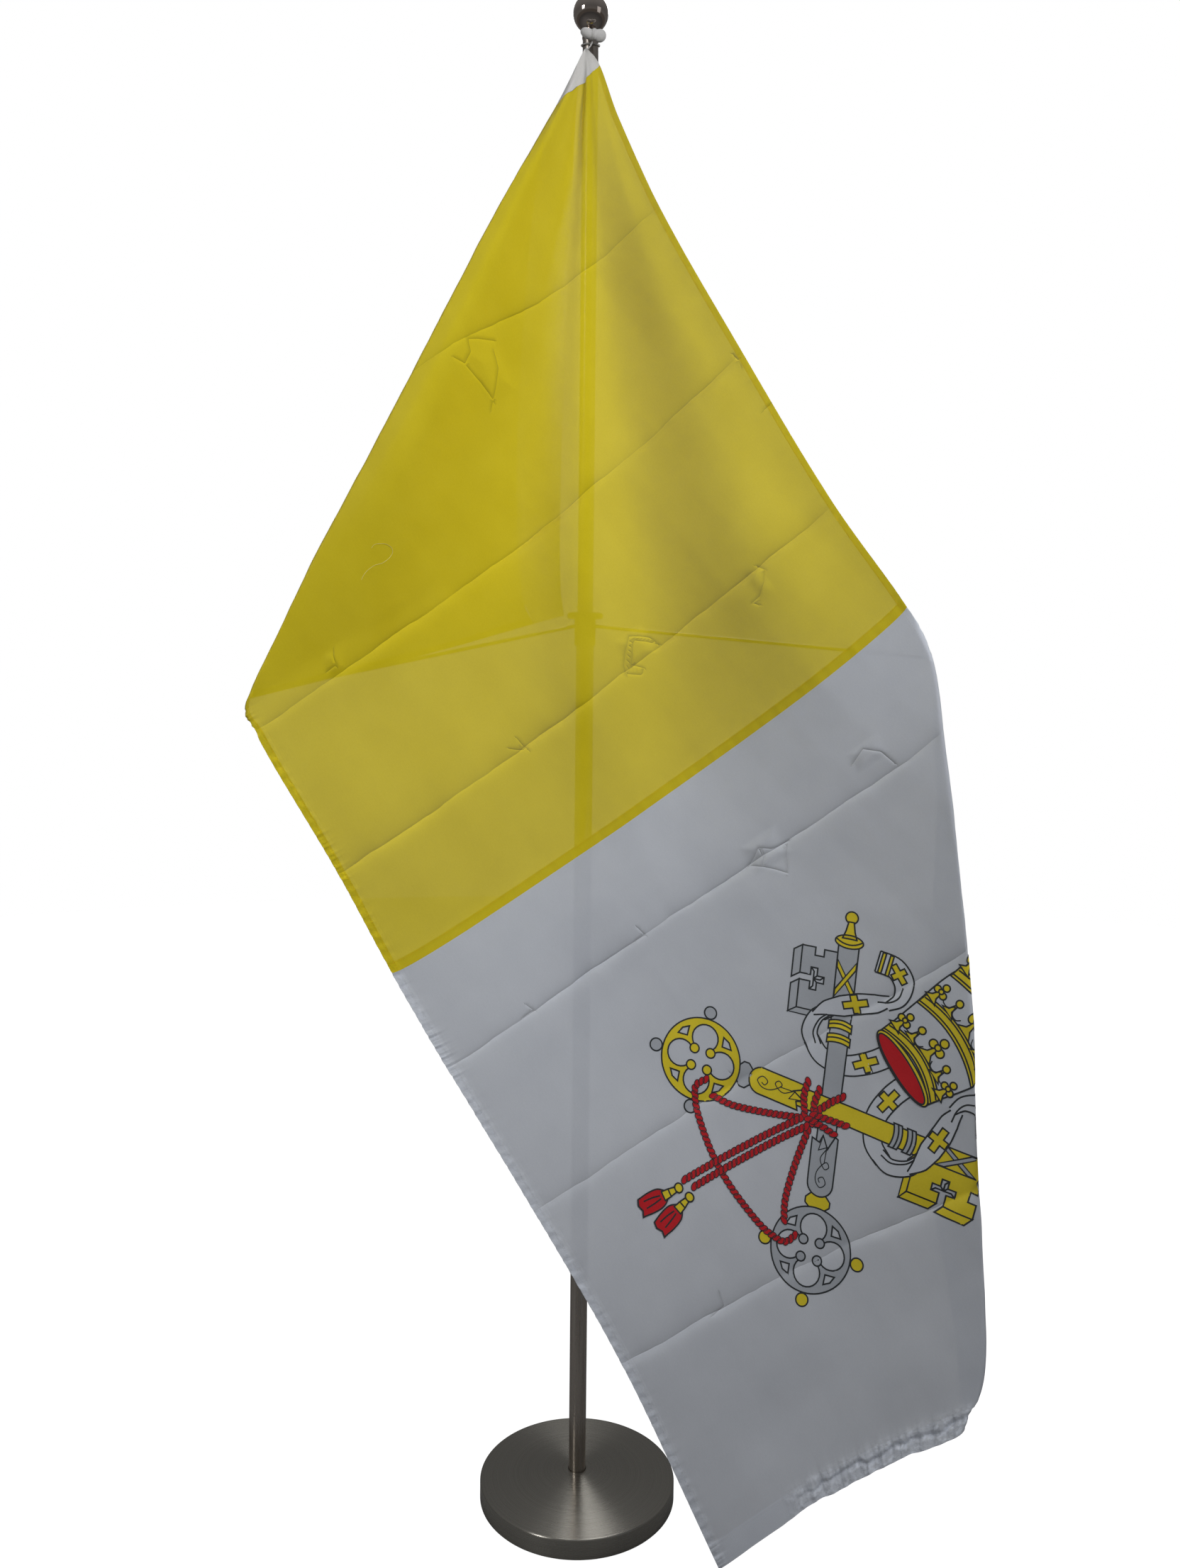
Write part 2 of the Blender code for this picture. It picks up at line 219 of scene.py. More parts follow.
# Creases from packing, each across the cloth: where it runs at the hem, the middle and the top
creases = [
    # hem    middle  top     low v  high v  height   steep  gentle
    (0.290, 0.260, 0.240, 0.42, 0.90, -0.0022, 0.006, 0.016),
    (0.545, 0.515, 0.475, 0.00, 0.90, -0.0050, 0.006, 0.020),
    (0.750, 0.735, 0.720, 0.00, 0.90, -0.0054, 0.006, 0.020),
    (1.055, 1.050, 1.055, 0.00, 0.84, -0.0052, 0.006, 0.020),
    (1.275, 1.290, 1.295, 0.00, 0.72, -0.0046, 0.006, 0.018),
    (1.505, 1.535, 1.555, 0.00, 0.58, -0.0056, 0.006, 0.022),
]
crossCreases = [0.137 + 0.184 * fold for fold in range(4)]
pockets = [
    # u      v      along u  along v  height
    (0.300, 0.550, 0.026, 0.020, 0.0030),
    (0.715, 0.550, 0.018, 0.020, 0.0034),
    (1.045, 0.555, 0.018, 0.024, 0.0030),
    (0.740, 0.755, 0.020, 0.008, 0.0016),
    (1.015, 0.750, 0.012, 0.020, 0.0016),
    (0.520, 0.145, 0.012, 0.010, 0.0020),
]
# Short sharp kinks where the packet was folded twice, drawn as seen from the front:
# each starts from a place (u, v), then runs through points (right, down) in millimetres
kinks = [
    (0.270, 0.530, [(0, -15), (3, 0), (-4, 18), (-18, 15)]),
    (0.270, 0.530, [(-5, 18), (18, 35), (38, 54)]),
    (0.270, 0.530, [(34, -10), (41, 10), (39, 41), (36, 67)]),
    (0.270, 0.530, [(0, -15), (13, -20), (34, -25)]),
    (0.730, 0.530, [(-4, -40), (-10, -16), (-11, 3), (-8, 13)]),
    (0.730, 0.530, [(-4, -40), (12, -40), (26, -39), (35, -33)]),
    (0.730, 0.530, [(2, -34), (1, -16), (0, 0), (17, 4)]),
    (0.730, 0.530, [(2, -34), (22, -33), (39, -30)]),
    (0.730, 0.530, [(-8, 13), (16, 14), (17, 4)]),
    (0.730, 0.765, [(-6, -5), (5, 0), (5, 18), (-1, 36), (-11, 44), (-3, 48)]),
    (0.740, 0.315, [(-7, -15), (1, -6), (9, 0), (-5, 1), (-18, 0)]),
    (1.050, 0.530, [(7, -22), (1, -8), (-7, 5)]),
    (1.050, 0.530, [(7, -22), (26, -19), (47, -30)]),
    (1.050, 0.530, [(47, -30), (45, -6), (47, 20)]),
    (1.050, 0.530, [(-7, 5), (13, 7), (31, 12), (46, 18)]),
    (1.050, 0.530, [(13, 7), (15, -9), (11, -21)]),
    (1.015, 0.750, [(-20, 14), (-6, -6), (17, 0), (33, 17)]),
    (0.520, 0.145, [(-6, -13), (4, 3), (-8, 13)]),
    (0.480, 0.890, [(-8, -7), (0, 1), (5, 10)]),
    (0.560, 0.895, [(-9, 4), (0, -3)]),
    (1.050, 0.330, [(-8, -12), (3, 0), (-9, 8)]),
    (1.285, 0.330, [(-8, -12), (3, 0), (-9, 8)]),
    (1.050, 0.135, [(-9, -8), (2, 0), (-10, 9)]),
    (1.520, 0.150, [(-4, -26), (4, -8), (-10, 4)]),
    (1.280, 0.505, [(-10, -6), (2, 0), (-6, 10)]),
]
# Folds gathered into the corner that hangs from the knot
gathers = [
    # angle  width  height  reach
    (54.0, 5.0, -0.0120, 0.30),
    (70.0, 6.0, 0.0060, 0.20),
    (38.0, 6.0, 0.0040, 0.16),
    (84.0, 5.0, -0.0040, 0.12),
]
softDents = [
    # u      v      along u  along v  depth
    (0.62, 0.20, 0.10, 0.14, 0.006),
    (0.66, 0.72, 0.12, 0.10, -0.006),
    (0.82, 0.50, 0.09, 0.16, 0.007),
    (0.98, 0.30, 0.10, 0.14, -0.007),
    (1.14, 0.62, 0.10, 0.12, 0.006),
    (1.20, 0.18, 0.10, 0.10, 0.006),
    (1.40, 0.28, 0.08, 0.12, -0.005),
    (1.45, 0.56, 0.10, 0.08, 0.005),
    (1.68, 0.16, 0.07, 0.08, 0.006),
    (1.70, 0.36, 0.06, 0.07, -0.006),
]


def wander(x, seed):
    # a smooth uneven wave of about unit height, the same for each seed
    draw = np.random.default_rng(seed)
    total = np.zeros_like(x)
    for step in range(5):
        rate = 1.7**step * (1 + 0.3 * draw.random())
        total += np.sin(rate * x + 6.28 * draw.random()) * 0.62**step
    return total / 1.9


def creaseLine(row, v):
    hem, middle, top = creases[row][:3]
    share = v / flag["width"]
    line = hem * (1 - share) * (1 - 2 * share) + 4 * middle * share * (1 - share)
    line += top * share * (2 * share - 1)
    return line + 0.0012 * wander(v * 40, row)


def creasePress(row, v):
    # how firmly a crease is pressed in, which fades towards its ends
    low, high = creases[row][3:5]
    ends = ease(low - 0.02, low + 0.04, v) * (1 - ease(high - 0.06, high + 0.02, v))
    return ends * np.clip(0.85 + 0.35 * wander(v * 16, 20 + row), 0.25, 1.3)


def creaseHeight(u, v):
    # each crease is a valley, gentle on the hoist side and steep on the fly side
    height = np.zeros_like(u)
    for row, (*_, rise, steep, gentle) in enumerate(creases):
        away = u - creaseLine(row, v)
        valley = np.where(away > 0, np.exp(-away / steep), np.exp(away / gentle))
        height += rise * creasePress(row, v) * valley
    for row, crossing in enumerate(crossCreases):
        line = crossing + 0.0015 * wander(u * 30, 40 + row)
        height += 0.00035 * wander(u * 9, 50 + row) * np.exp(-np.abs(v - line) / 0.006)
    return height


def seenFromFront(u, v, right, down):
    # a place on the cloth a little right and down of (u, v), in millimetres, where the cloth hangs turned
    return u + 0.00053 * right + 0.00077 * down, v + 0.00090 * right - 0.00055 * down


def pressedLines(u, v):
    # distance past the nearest crease, positive on its fly side, and how firmly it is pressed; they set the
    # crease's groove and its painted shade and highlight
    away, force = np.full_like(u, 0.06), np.zeros_like(u)
    for row in range(len(creases)):
        past = u - creaseLine(row, v)
        near = np.abs(past) < np.abs(away)
        away[near], force[near] = past[near], creasePress(row, v)[near]
    return away, force * ease(0, 1, (0.05 - np.abs(away)) / 0.02)


def kinkLines(u, v):
    # the same for the short kinks, each side fading out before the next line begins
    away, force = np.full_like(u, 0.02), np.zeros_like(u)
    for startU, startV, points in kinks:
        corners = [seenFromFront(startU, startV, *point) for point in points]
        for (u0, v0), (u1, v1) in zip(corners, corners[1:]):
            run = np.array((u1 - u0, v1 - v0))
            t = np.clip(((u - u0) * run[0] + (v - v0) * run[1]) / (run @ run), 0, 1)
            offU, offV = u - u0 - t * run[0], v - v0 - t * run[1]
            distance = np.hypot(offU, offV)
            facing = 1.0 if run[1] >= 0 else -1.0
            past = distance * np.where(facing * (offU * run[1] - offV * run[0]) >= 0, 1.0, -1.0)
            near = distance < np.abs(away)
            away[near], force[near] = past[near], 1.0
    return away, force * ease(0, 1, (0.0060 - np.abs(away)) / 0.0030)


def crumpled(u, v):
    # where the cloth is puckered, which gets a bump and painted highlights: the fly hem beyond its first
    # smooth stretch, and a little at the hems
    onFly = ease(flag["length"] - flag["flyHem"] - 0.010, flag["length"] - flag["flyHem"] + 0.004, u)
    onHem = 1 - ease(flag["hem"], flag["hem"] + 0.006, v)
    return np.maximum(onFly * ease(0.105, 0.150, v), 0.45 * onHem)


def doubled(u, v):
    # one where a hem lies behind the cloth
    soft = 0.0006
    atHem = 1 - ease(-soft, soft, v - flag["hem"])
    atTop = ease(-soft, soft, v - flag["width"] + flag["topHem"])
    atFly = ease(-soft, soft, u - flag["length"] + flag["flyHem"])
    return np.maximum(np.maximum(atHem, atTop), atFly)


# How the cloth puckers along its stitched edges: reach, waves per metre, seed and height
puckering = {
    "hem": (0.014, 330, 61, 0.0011), "top": (0.012, 210, 62, 0.0005),
    "seam": (0.012, 240, 63, 0.0005), "fly": (0.020, 170, 64, 0.0026),
}


def edgePucker(edge, away, along):
    reach, waves, seed, height = puckering[edge]
    return np.exp(-(away / reach) ** 2) * wander(along * waves, seed) * height


def detailHeight(u, v):
    # what the cloth adds to its hung shape, towards its face side
    height = creaseHeight(u, v)
    for middleU, middleV, alongU, alongV, rise in pockets:
        away = np.maximum(np.abs(u - middleU) / alongU, np.abs(v - middleV) / alongV)
        height += rise * ease(0, 1, 1.4 - away)
    for middleU, middleV, alongU, alongV, depth in softDents:
        height -= depth * np.exp(-(((u - middleU) / alongU) ** 2) - ((v - middleV) / alongV) ** 2)
    reach = np.hypot(u, flag["width"] - v)
    angle = np.degrees(np.arctan2(u, flag["width"] - v + 1e-6))
    for middle, spread, rise, fade in gathers:
        grown = ease(0.02, 0.12, reach) * np.exp(-reach / fade)
        height += rise * grown * np.exp(-(((angle - middle) / spread) ** 2))
    hemPucker = edgePucker("hem", v, u)
    topPucker = edgePucker("top", flag["width"] - v, u)
    seamPucker = edgePucker("seam", np.abs(u - flag["division"] + 0.5 * flag["seam"]), v)
    seamPucker += 0.0010 * np.exp(-np.abs(u - flag["division"] + flag["seam"]) / 0.0030)
    flyPucker = edgePucker("fly", u - flag["length"] + 0.5 * flag["flyHem"], v) * ease(0.10, 0.18, v)
    valley = u - flag["length"] + 0.020 + 0.005 * wander(v * 60, 68)
    flyPucker -= 0.0032 * np.exp(-((valley / 0.004) ** 2)) * ease(0.12, 0.20, v)
    slow = 0.0010 * wander(u * 15 + 3 * v, 65) + 0.0008 * wander(v * 21 - 4 * u, 66)
    return height + hemPucker + topPucker + seamPucker + flyPucker + slow


def shares(length, radius, count, endToo=False):
    # places across a layer, close together on the turn of a fold
    first = [radius * (1 - math.cos(math.radians(a))) for a in (0, 18, 36, 54, 72)]
    if endToo:
        half = shares(length / 2, radius, count // 2)
        return np.concatenate([half / 2, 1 - half[-2::-1] / 2])
    rest = np.linspace(radius, max(length, 1.01 * radius), count)
    return np.minimum(np.array([*first, *rest]) / max(length, 1e-6), 1.0)


def columnHeights(u, backCount, frontCount, flapCount):
    low, high, radius = leftV(u), rightV(u), foldRadius(u)
    parts = []
    if backCount:
        parts.append((1 - shares(low, radius, backCount)[:0:-1]) * low)
    parts.append(low + shares(high - low, radius, frontCount, endToo=True) * (high - low))
    if flapCount:
        parts.append(high + np.linspace(0, 1, flapCount + 1)[1:] * (flag["width"] - high))
    return np.concatenate(parts)


def stationsOf(start, end, extra=()):
    count = int((end - start) / flag["stationStep"])
    return np.unique(np.round([*np.linspace(start, end, count), *extra], 5))


class Weft:
    # the surface of one panel: its points, normals and heights on a net of stations and columns
    def __init__(self, start, end, counts, extra=()):
        self.stations = stationsOf(start, end, extra)
        self.v = np.array([columnHeights(u, *counts) for u in self.stations])
        self.u = np.repeat(self.stations[:, None], self.v.shape[1], axis=1)
        self.points = np.array([acrossAt(u, v) for u, v in zip(self.stations, self.v)])
        self.normals = self.faceSide()
        self.points += self.normals * detailHeight(self.u, self.v)[..., None]
        # the puckered fly edge draws in by a few millimetres
        drawn = 0.0022 * (1.1 + wander(self.v * 40, 67)) * np.exp((self.u - flag["length"]) / 0.014)
        drawn *= ease(0.08, 0.16, self.v)
        self.points[..., 2] += drawn
        self.normals = self.faceSide()

    def faceSide(self):
        alongU = np.gradient(self.points, axis=0)
        alongV = np.gradient(self.points, axis=1)
        normal = np.cross(alongU, alongV)
        size = np.linalg.norm(normal, axis=2)
        normal /= np.maximum(size, 1e-12)[..., None]
        places = np.arange(size.shape[1])
        for row in range(len(size)):
            good = size[row] > 1e-9
            if not good.all():
                for axis in range(3):
                    normal[row, :, axis] = np.interp(places, places[good], normal[row, good, axis])
        return normal

    def place(self, u, v, lift=0.0):
        # points on the cloth at (u, v), lifted off its face side
        u, v = np.asarray(u, float), np.asarray(v, float)
        shape = u.shape
        u, v, lift = u.ravel(), v.ravel(), np.broadcast_to(lift, shape).ravel()
        row = np.clip(np.searchsorted(self.stations, u) - 1, 0, len(self.stations) - 2)
        t = (u - self.stations[row]) / (self.stations[row + 1] - self.stations[row])
        out = np.zeros((len(u), 3))
        for station in np.unique(row):
            here = row == station
            for line, weight in ((station, 1 - t[here]), (station + 1, t[here])):
                for axis in range(3):
                    at = np.interp(v[here], self.v[line], self.points[line, :, axis])
                    up = np.interp(v[here], self.v[line], self.normals[line, :, axis])
                    out[here, axis] += weight * (at + lift[here] * up)
        return out.reshape(*shape, 3)


print("cloth surface ready")


def gridPiece(name, points, u, v, material):
    # a net of points as one smooth piece, its faces to the face side and its UV in metres of cloth
    count, wide = u.shape
    mesh = bpy.data.meshes.new(name)
    index = np.arange(count * wide).reshape(count, wide)
    quads = np.stack((index[:-1, :-1], index[1:, :-1], index[1:, 1:], index[:-1, 1:]), axis=-1)
    quads = quads.reshape(-1, 4)
    mesh.from_pydata(points.reshape(-1, 3).tolist(), [], quads.tolist())
    layer = mesh.uv_layers.new(name="cloth")
    flat = np.stack((u.ravel(), v.ravel()), axis=1)
    layer.data.foreach_set("uv", flat[quads.ravel()].ravel().astype(np.float32))
    joined = bmesh.new()
    joined.from_mesh(mesh)
    bmesh.ops.remove_doubles(joined, verts=joined.verts, dist=0.00001)
    joined.to_mesh(mesh)
    joined.free()
    mesh.shade_smooth()
    places = np.zeros((len(mesh.vertices), 2))
    corners = np.zeros(len(mesh.loops), dtype=np.int32)
    mesh.loops.foreach_get("vertex_index", corners)
    uvs = np.zeros(len(mesh.loops) * 2, dtype=np.float32)
    mesh.uv_layers["cloth"].data.foreach_get("uv", uvs)
    places[corners] = uvs.reshape(-1, 2)
    # these attributes set the grooves and bumps, and the painted shade and painted highlights of creases,
    # kinks and puckers
    labels = ("away", "force", "kinkAway", "kinkForce", "crumple", "doubled")
    effects = (*pressedLines(*places.T), *kinkLines(*places.T), crumpled(*places.T), doubled(*places.T))
    for label, values in zip(labels, effects):
        mesh.attributes.new(label, "FLOAT", "POINT").data.foreach_set("value", values.astype(np.float32))
    mesh.materials.append(material)
    piece = bpy.data.objects.new(name, mesh)
    bpy.context.scene.collection.objects.link(piece)
    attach(piece, "root")
    return piece


def strip(name, weft, uPlaces, vPlaces, lift, material):
    # a doubled edge: a second thickness of cloth on the reverse
    u, v = np.meshgrid(uPlaces, vPlaces, indexing="ij")
    return gridPiece(name, weft.place(u, v, lift), u, v, material)


def joinPieces(name, pieces):
    bpy.ops.object.select_all(action="DESELECT")
    for piece in pieces:
        piece.select_set(True)
    bpy.context.view_layer.objects.active = pieces[0]
    bpy.ops.object.join()
    pieces[0].name = name
    return pieces[0]


# Camera: where the photograph was taken from, a little turned
eye = bpy.data.cameras.new("eye")
eye.sensor_width, eye.lens = 36.0, 27.1
camera = bpy.data.objects.new("eye", eye)
camera.matrix_world = (
    Matrix.Translation((0.0092, -1.694, 1.143))
    @ Matrix.Rotation(math.radians(87), 4, "X")
    @ Matrix.Rotation(math.radians(0.56), 4, "Z")
)
bpy.context.scene.collection.objects.link(camera)
bpy.context.scene.camera = camera

# Light: a soft key high in front on the right, a weak fill beside it, a window high on the left,
# two lamps behind the flag, and a pale room. Past the sheer cloth the room is dimmer, as behind the real one.
light = {
    "key": 6.9, "fill": 3.0, "window": 18.0, "back": 14.0, "behind": 9.0,
    "roomSeen": 1.0, "roomGiven": 0.145, "roomBehind": 0.24, "floorGlow": 1.0, "floorBehind": 0.12,
}


def softLight(name, place, aim, size, power, spread=180, mirrored=True):
    lamp = bpy.data.lights.new(name, "AREA")
    lamp.spread = math.radians(spread)
    lamp.shape, lamp.size, lamp.size_y, lamp.energy = "RECTANGLE", size[0], size[1], power
    holder = bpy.data.objects.new(name, lamp)
    holder.visible_glossy = mirrored
    turn = (Vector(aim) - Vector(place)).to_track_quat("-Z", "Y")
    holder.matrix_world = Matrix.Translation(place) @ turn.to_matrix().to_4x4()
    bpy.context.scene.collection.objects.link(holder)


softLight("key", (1.30, -1.50, 2.40), (0, -0.1, 1.45), (0.7, 0.7), light["key"], spread=88, mirrored=False)
softLight("fill", (2.4, -1.8, 2.2), (0.1, 0, 1.3), (1.2, 1.6), light["fill"])
softLight("window", (-1.85, -1.65, 2.75), (0, 0, 0.9), (0.55, 0.8), light["window"])
softLight("behind", (1.3, 2.3, 2.3), (0.0, 0, 1.2), (1.3, 1.3), light["behind"], mirrored=False)
softLight("back", (0.2, 1.4, 3.4), (0.0, 0, 1.1), (1.0, 1.0), light["back"])

room = bpy.data.worlds.new("room")
bpy.context.scene.world = room
room.use_nodes = True
nodes, links = room.node_tree.nodes, room.node_tree.links
nodes.clear()
out, path = nodes.new("ShaderNodeOutputWorld"), nodes.new("ShaderNodeLightPath")
past = nodes.new("ShaderNodeMath")
past.operation = "LESS_THAN"
past.inputs[1].default_value = 0.5
links.new(path.outputs["Transparent Depth"], past.inputs[0])
towards, heightOf, wall = (nodes.new("ShaderNode" + kind) for kind in ("TexCoord", "SeparateXYZ", "ValToRGB"))
links.new(towards.outputs["Generated"], heightOf.inputs[0])
raised = nodes.new("ShaderNodeMapRange")
raised.inputs["From Min"].default_value = -1.0
links.new(heightOf.outputs["Z"], raised.inputs["Value"])
links.new(raised.outputs[0], wall.inputs["Fac"])
roomTones = wall.color_ramp.elements
roomTones[0].color, roomTones[1].color = (0.55, 0.50, 0.45, 1), (1.5, 1.5, 1.5, 1)
for place, tone in ((0.46, (0.55, 0.50, 0.45)), (0.50, (0.95, 0.93, 0.90)), (0.66, (0.80, 0.80, 0.80))):
    roomTones.new(place).color = (*tone, 1)
backdrops = []
for strength in (light["roomGiven"], light["roomBehind"], light["roomSeen"]):
    backdrop = nodes.new("ShaderNodeBackground")
    backdrop.inputs["Color"].default_value = (1, 1, 1, 1)
    backdrop.inputs["Strength"].default_value = strength
    backdrops.append(backdrop)
links.new(wall.outputs[0], backdrops[0].inputs["Color"])
sight, choose = nodes.new("ShaderNodeMixShader"), nodes.new("ShaderNodeMixShader")
links.new(past.outputs[0], sight.inputs[0])
links.new(backdrops[1].outputs[0], sight.inputs[1])
links.new(backdrops[2].outputs[0], sight.inputs[2])
links.new(path.outputs["Is Camera Ray"], choose.inputs[0])
links.new(backdrops[0].outputs[0], choose.inputs[1])
links.new(sight.outputs[0], choose.inputs[2])
links.new(choose.outputs[0], out.inputs["Surface"])
bpy.context.scene.view_settings.view_transform = "Standard"

bpy.ops.object.select_all(action="DESELECT")
bpy.ops.mesh.primitive_circle_add(vertices=128, radius=6.0, fill_type="NGON", location=(0, 0, -0.0005))
floor = bpy.context.object
floor.name = "floor"
print("camera and light ready")


class Shader:
    # a material with its Principled shader and short calls to wire nodes
    def __init__(self, name, **values):
        self.material = bpy.data.materials.new(name)
        self.material.use_nodes = True
        self.nodes, self.links = self.material.node_tree.nodes, self.material.node_tree.links
        self.body = self.nodes["Principled BSDF"]
        for key, value in values.items():
            self.body.inputs[key.replace("_", " ")].default_value = value

    def add(self, kind, feeds=None, **settings):
        node = self.nodes.new("ShaderNode" + kind)
        for key, value in settings.items():
            setattr(node, key, value)
        for key, value in (feeds or {}).items():
            if isinstance(value, bpy.types.NodeSocket):
                self.links.new(value, node.inputs[key])
            else:
                node.inputs[key].default_value = value
        return node

    def feed(self, socket, value):
        self.links.new(value, self.body.inputs[socket])

    def ramp(self, factor, dark, pale, low=0.0, high=1.0):
        # a colour that runs from dark to pale while the factor runs from low to high
        tone = self.add("ValToRGB", {"Fac": factor})
        first, last = tone.color_ramp.elements
        first.position, last.position = low, high
        first.color, last.color = (*dark, 1), (*pale, 1)
        return tone.outputs[0]


floorPaint = Shader("floorPaint", Base_Color=(0.24, 0.24, 0.24, 1), Roughness=0.7)
floorPaint.body.inputs["Emission Color"].default_value = (1, 1, 1, 1)
sightPath = floorPaint.add("LightPath")
direct = floorPaint.add("Math", {0: sightPath.outputs["Transparent Depth"], 1: 0.5}, operation="LESS_THAN")
pastCloth = floorPaint.add("MapRange", {0: direct.outputs[0], 3: light["floorBehind"], 4: light["floorGlow"]})
glow = floorPaint.add(
    "Math", {0: pastCloth.outputs[0], 1: sightPath.outputs["Is Camera Ray"]}, operation="MULTIPLY"
)
floorPaint.feed("Emission Strength", glow.outputs[0])
floor.data.materials.append(floorPaint.material)


def shaderGroup(name, inputs, outputs):
    # an empty group with its named inputs and outputs, and the two nodes that hold them
    group = bpy.data.node_groups.new(name, "ShaderNodeTree")
    for label, kind, value in inputs:
        socket = group.interface.new_socket(name=label, in_out="INPUT", socket_type="NodeSocket" + kind)
        if value is not None:
            socket.default_value = value
    for label, kind in outputs:
        group.interface.new_socket(name=label, in_out="OUTPUT", socket_type="NodeSocket" + kind)
    return group, group.nodes.new("NodeGroupInput"), group.nodes.new("NodeGroupOutput")


# Plain weave: threads both ways by the cloth's own UV, and a slow unevenness of the yarn
weave, given, taken = shaderGroup(
    "plainWeave",
    (("Vector", "Vector", None), ("Pitch", "Float", 0.0006), ("Slub", "Float", 0.3)),
    (("Height", "Float"), ("Open", "Float"), ("Tone", "Float")),
)
parts = weave.nodes
wire = weave.links.new


def groupMath(tree, kind, first, second=None, third=None):
    node = tree.nodes.new("ShaderNodeMath")
    node.operation = kind
    for place, value in enumerate((first, second, third)):
        if isinstance(value, bpy.types.NodeSocket):
            tree.links.new(value, node.inputs[place])
        elif value is not None:
            node.inputs[place].default_value = value
    return node.outputs[0]


split = parts.new("ShaderNodeSeparateXYZ")
wire(given.outputs["Vector"], split.inputs[0])
turns = groupMath(weave, "DIVIDE", 6.2832, given.outputs["Pitch"])
warp = groupMath(weave, "SINE", groupMath(weave, "MULTIPLY", split.outputs[0], turns))
weft = groupMath(weave, "SINE", groupMath(weave, "MULTIPLY", split.outputs[1], turns))
slub = parts.new("ShaderNodeTexNoise")
stretch = parts.new("ShaderNodeMapping")
stretch.inputs["Scale"].default_value = (60, 900, 1)
wire(given.outputs["Vector"], stretch.inputs["Vector"])
wire(stretch.outputs[0], slub.inputs["Vector"])
slub.inputs["Scale"].default_value = 1.0
slub.inputs["Detail"].default_value = 3.0
threads = groupMath(weave, "MULTIPLY", warp, weft)
yarn = groupMath(weave, "MULTIPLY", slub.outputs[0], given.outputs["Slub"])
wire(groupMath(weave, "ADD", threads, yarn), taken.inputs["Height"])
gaps = groupMath(weave, "ADD", groupMath(weave, "MULTIPLY", groupMath(weave, "ADD", warp, weft), 0.25), 0.5)
wire(gaps, taken.inputs["Open"])
blotch = parts.new("ShaderNodeTexNoise")
wire(given.outputs["Vector"], blotch.inputs["Vector"])
blotch.inputs["Scale"].default_value = 14.0
blotch.inputs["Detail"].default_value = 5.0
speck = parts.new("ShaderNodeTexNoise")
wire(given.outputs["Vector"], speck.inputs["Vector"])
speck.inputs["Scale"].default_value, speck.inputs["Detail"].default_value = 420.0, 2.0
mixed = groupMath(weave, "ADD", groupMath(weave, "MULTIPLY", slub.outputs[0], 0.35), blotch.outputs[0])
mixed = groupMath(weave, "ADD", mixed, groupMath(weave, "MULTIPLY_ADD", speck.outputs[0], 0.5, -0.25))
wire(mixed, taken.inputs["Tone"])

# A sharp pressed line: painted shade on its hoist side and a thin painted highlight on its fly side, over a
# shallow groove for the bump
pressing = {
    "softReach": 0.0060, "softDark": 0.15, "lineReach": 0.0013, "lineDark": 0.15,
    "edgeReach": 0.0018, "edgeHighlight": 0.12, "grooveReach": 0.0016, "grooveDepth": 0.0007,
}
pressed, given, taken = shaderGroup(
    "pressedLine",
    (("Away", "Float", 0.05), ("Force", "Float", 0.0)),
    (("Height", "Float"), ("Shade", "Float")),
)
wire = pressed.links.new
behind = groupMath(pressed, "MINIMUM", given.outputs["Away"], 0.0)
beyond = groupMath(pressed, "MAXIMUM", given.outputs["Away"], 0.0)
isBehind = groupMath(pressed, "LESS_THAN", given.outputs["Away"], 0.0)
isBeyond = groupMath(pressed, "SUBTRACT", 1.0, isBehind)
# painted shade on the hoist side: a soft shadow and a narrow dark line
softShadow = groupMath(pressed, "EXPONENT", groupMath(pressed, "DIVIDE", behind, pressing["softReach"]))
lineShadow = groupMath(pressed, "EXPONENT", groupMath(pressed, "DIVIDE", behind, pressing["lineReach"]))
edge = groupMath(pressed, "EXPONENT", groupMath(pressed, "DIVIDE", beyond, -pressing["edgeReach"]))
dark = groupMath(pressed, "MULTIPLY", softShadow, pressing["softDark"])
dark = groupMath(pressed, "MULTIPLY_ADD", lineShadow, pressing["lineDark"], dark)
dark = groupMath(pressed, "MULTIPLY", dark, isBehind)
# a thin painted highlight on the fly side
paintedHighlight = groupMath(pressed, "MULTIPLY", edge, pressing["edgeHighlight"])
paintedHighlight = groupMath(pressed, "MULTIPLY", paintedHighlight, isBeyond)
shade = groupMath(pressed, "SUBTRACT", paintedHighlight, dark)
wire(groupMath(pressed, "MULTIPLY_ADD", shade, given.outputs["Force"], 1.0), taken.inputs["Shade"])
groove = groupMath(pressed, "DIVIDE", groupMath(pressed, "SUBTRACT", behind, beyond), pressing["grooveReach"])
groove = groupMath(pressed, "MULTIPLY", groupMath(pressed, "EXPONENT", groove), given.outputs["Force"])
wire(groupMath(pressed, "MULTIPLY", groove, -pressing["grooveDepth"]), taken.inputs["Height"])

# Puckered hems: hollows in the bump where the stitching draws the cloth in, and painted highlights on the
# puckers
puckered, given, taken = shaderGroup(
    "puckers",
    (("Vector", "Vector", None), ("Crumple", "Float", 0.0)),
    (("Height", "Float"), ("Shade", "Float")),
)
wire = puckered.links.new
spots = puckered.nodes.new("ShaderNodeTexNoise")
wire(given.outputs["Vector"], spots.inputs["Vector"])
spots.inputs["Scale"].default_value, spots.inputs["Detail"].default_value = 95.0, 2.0
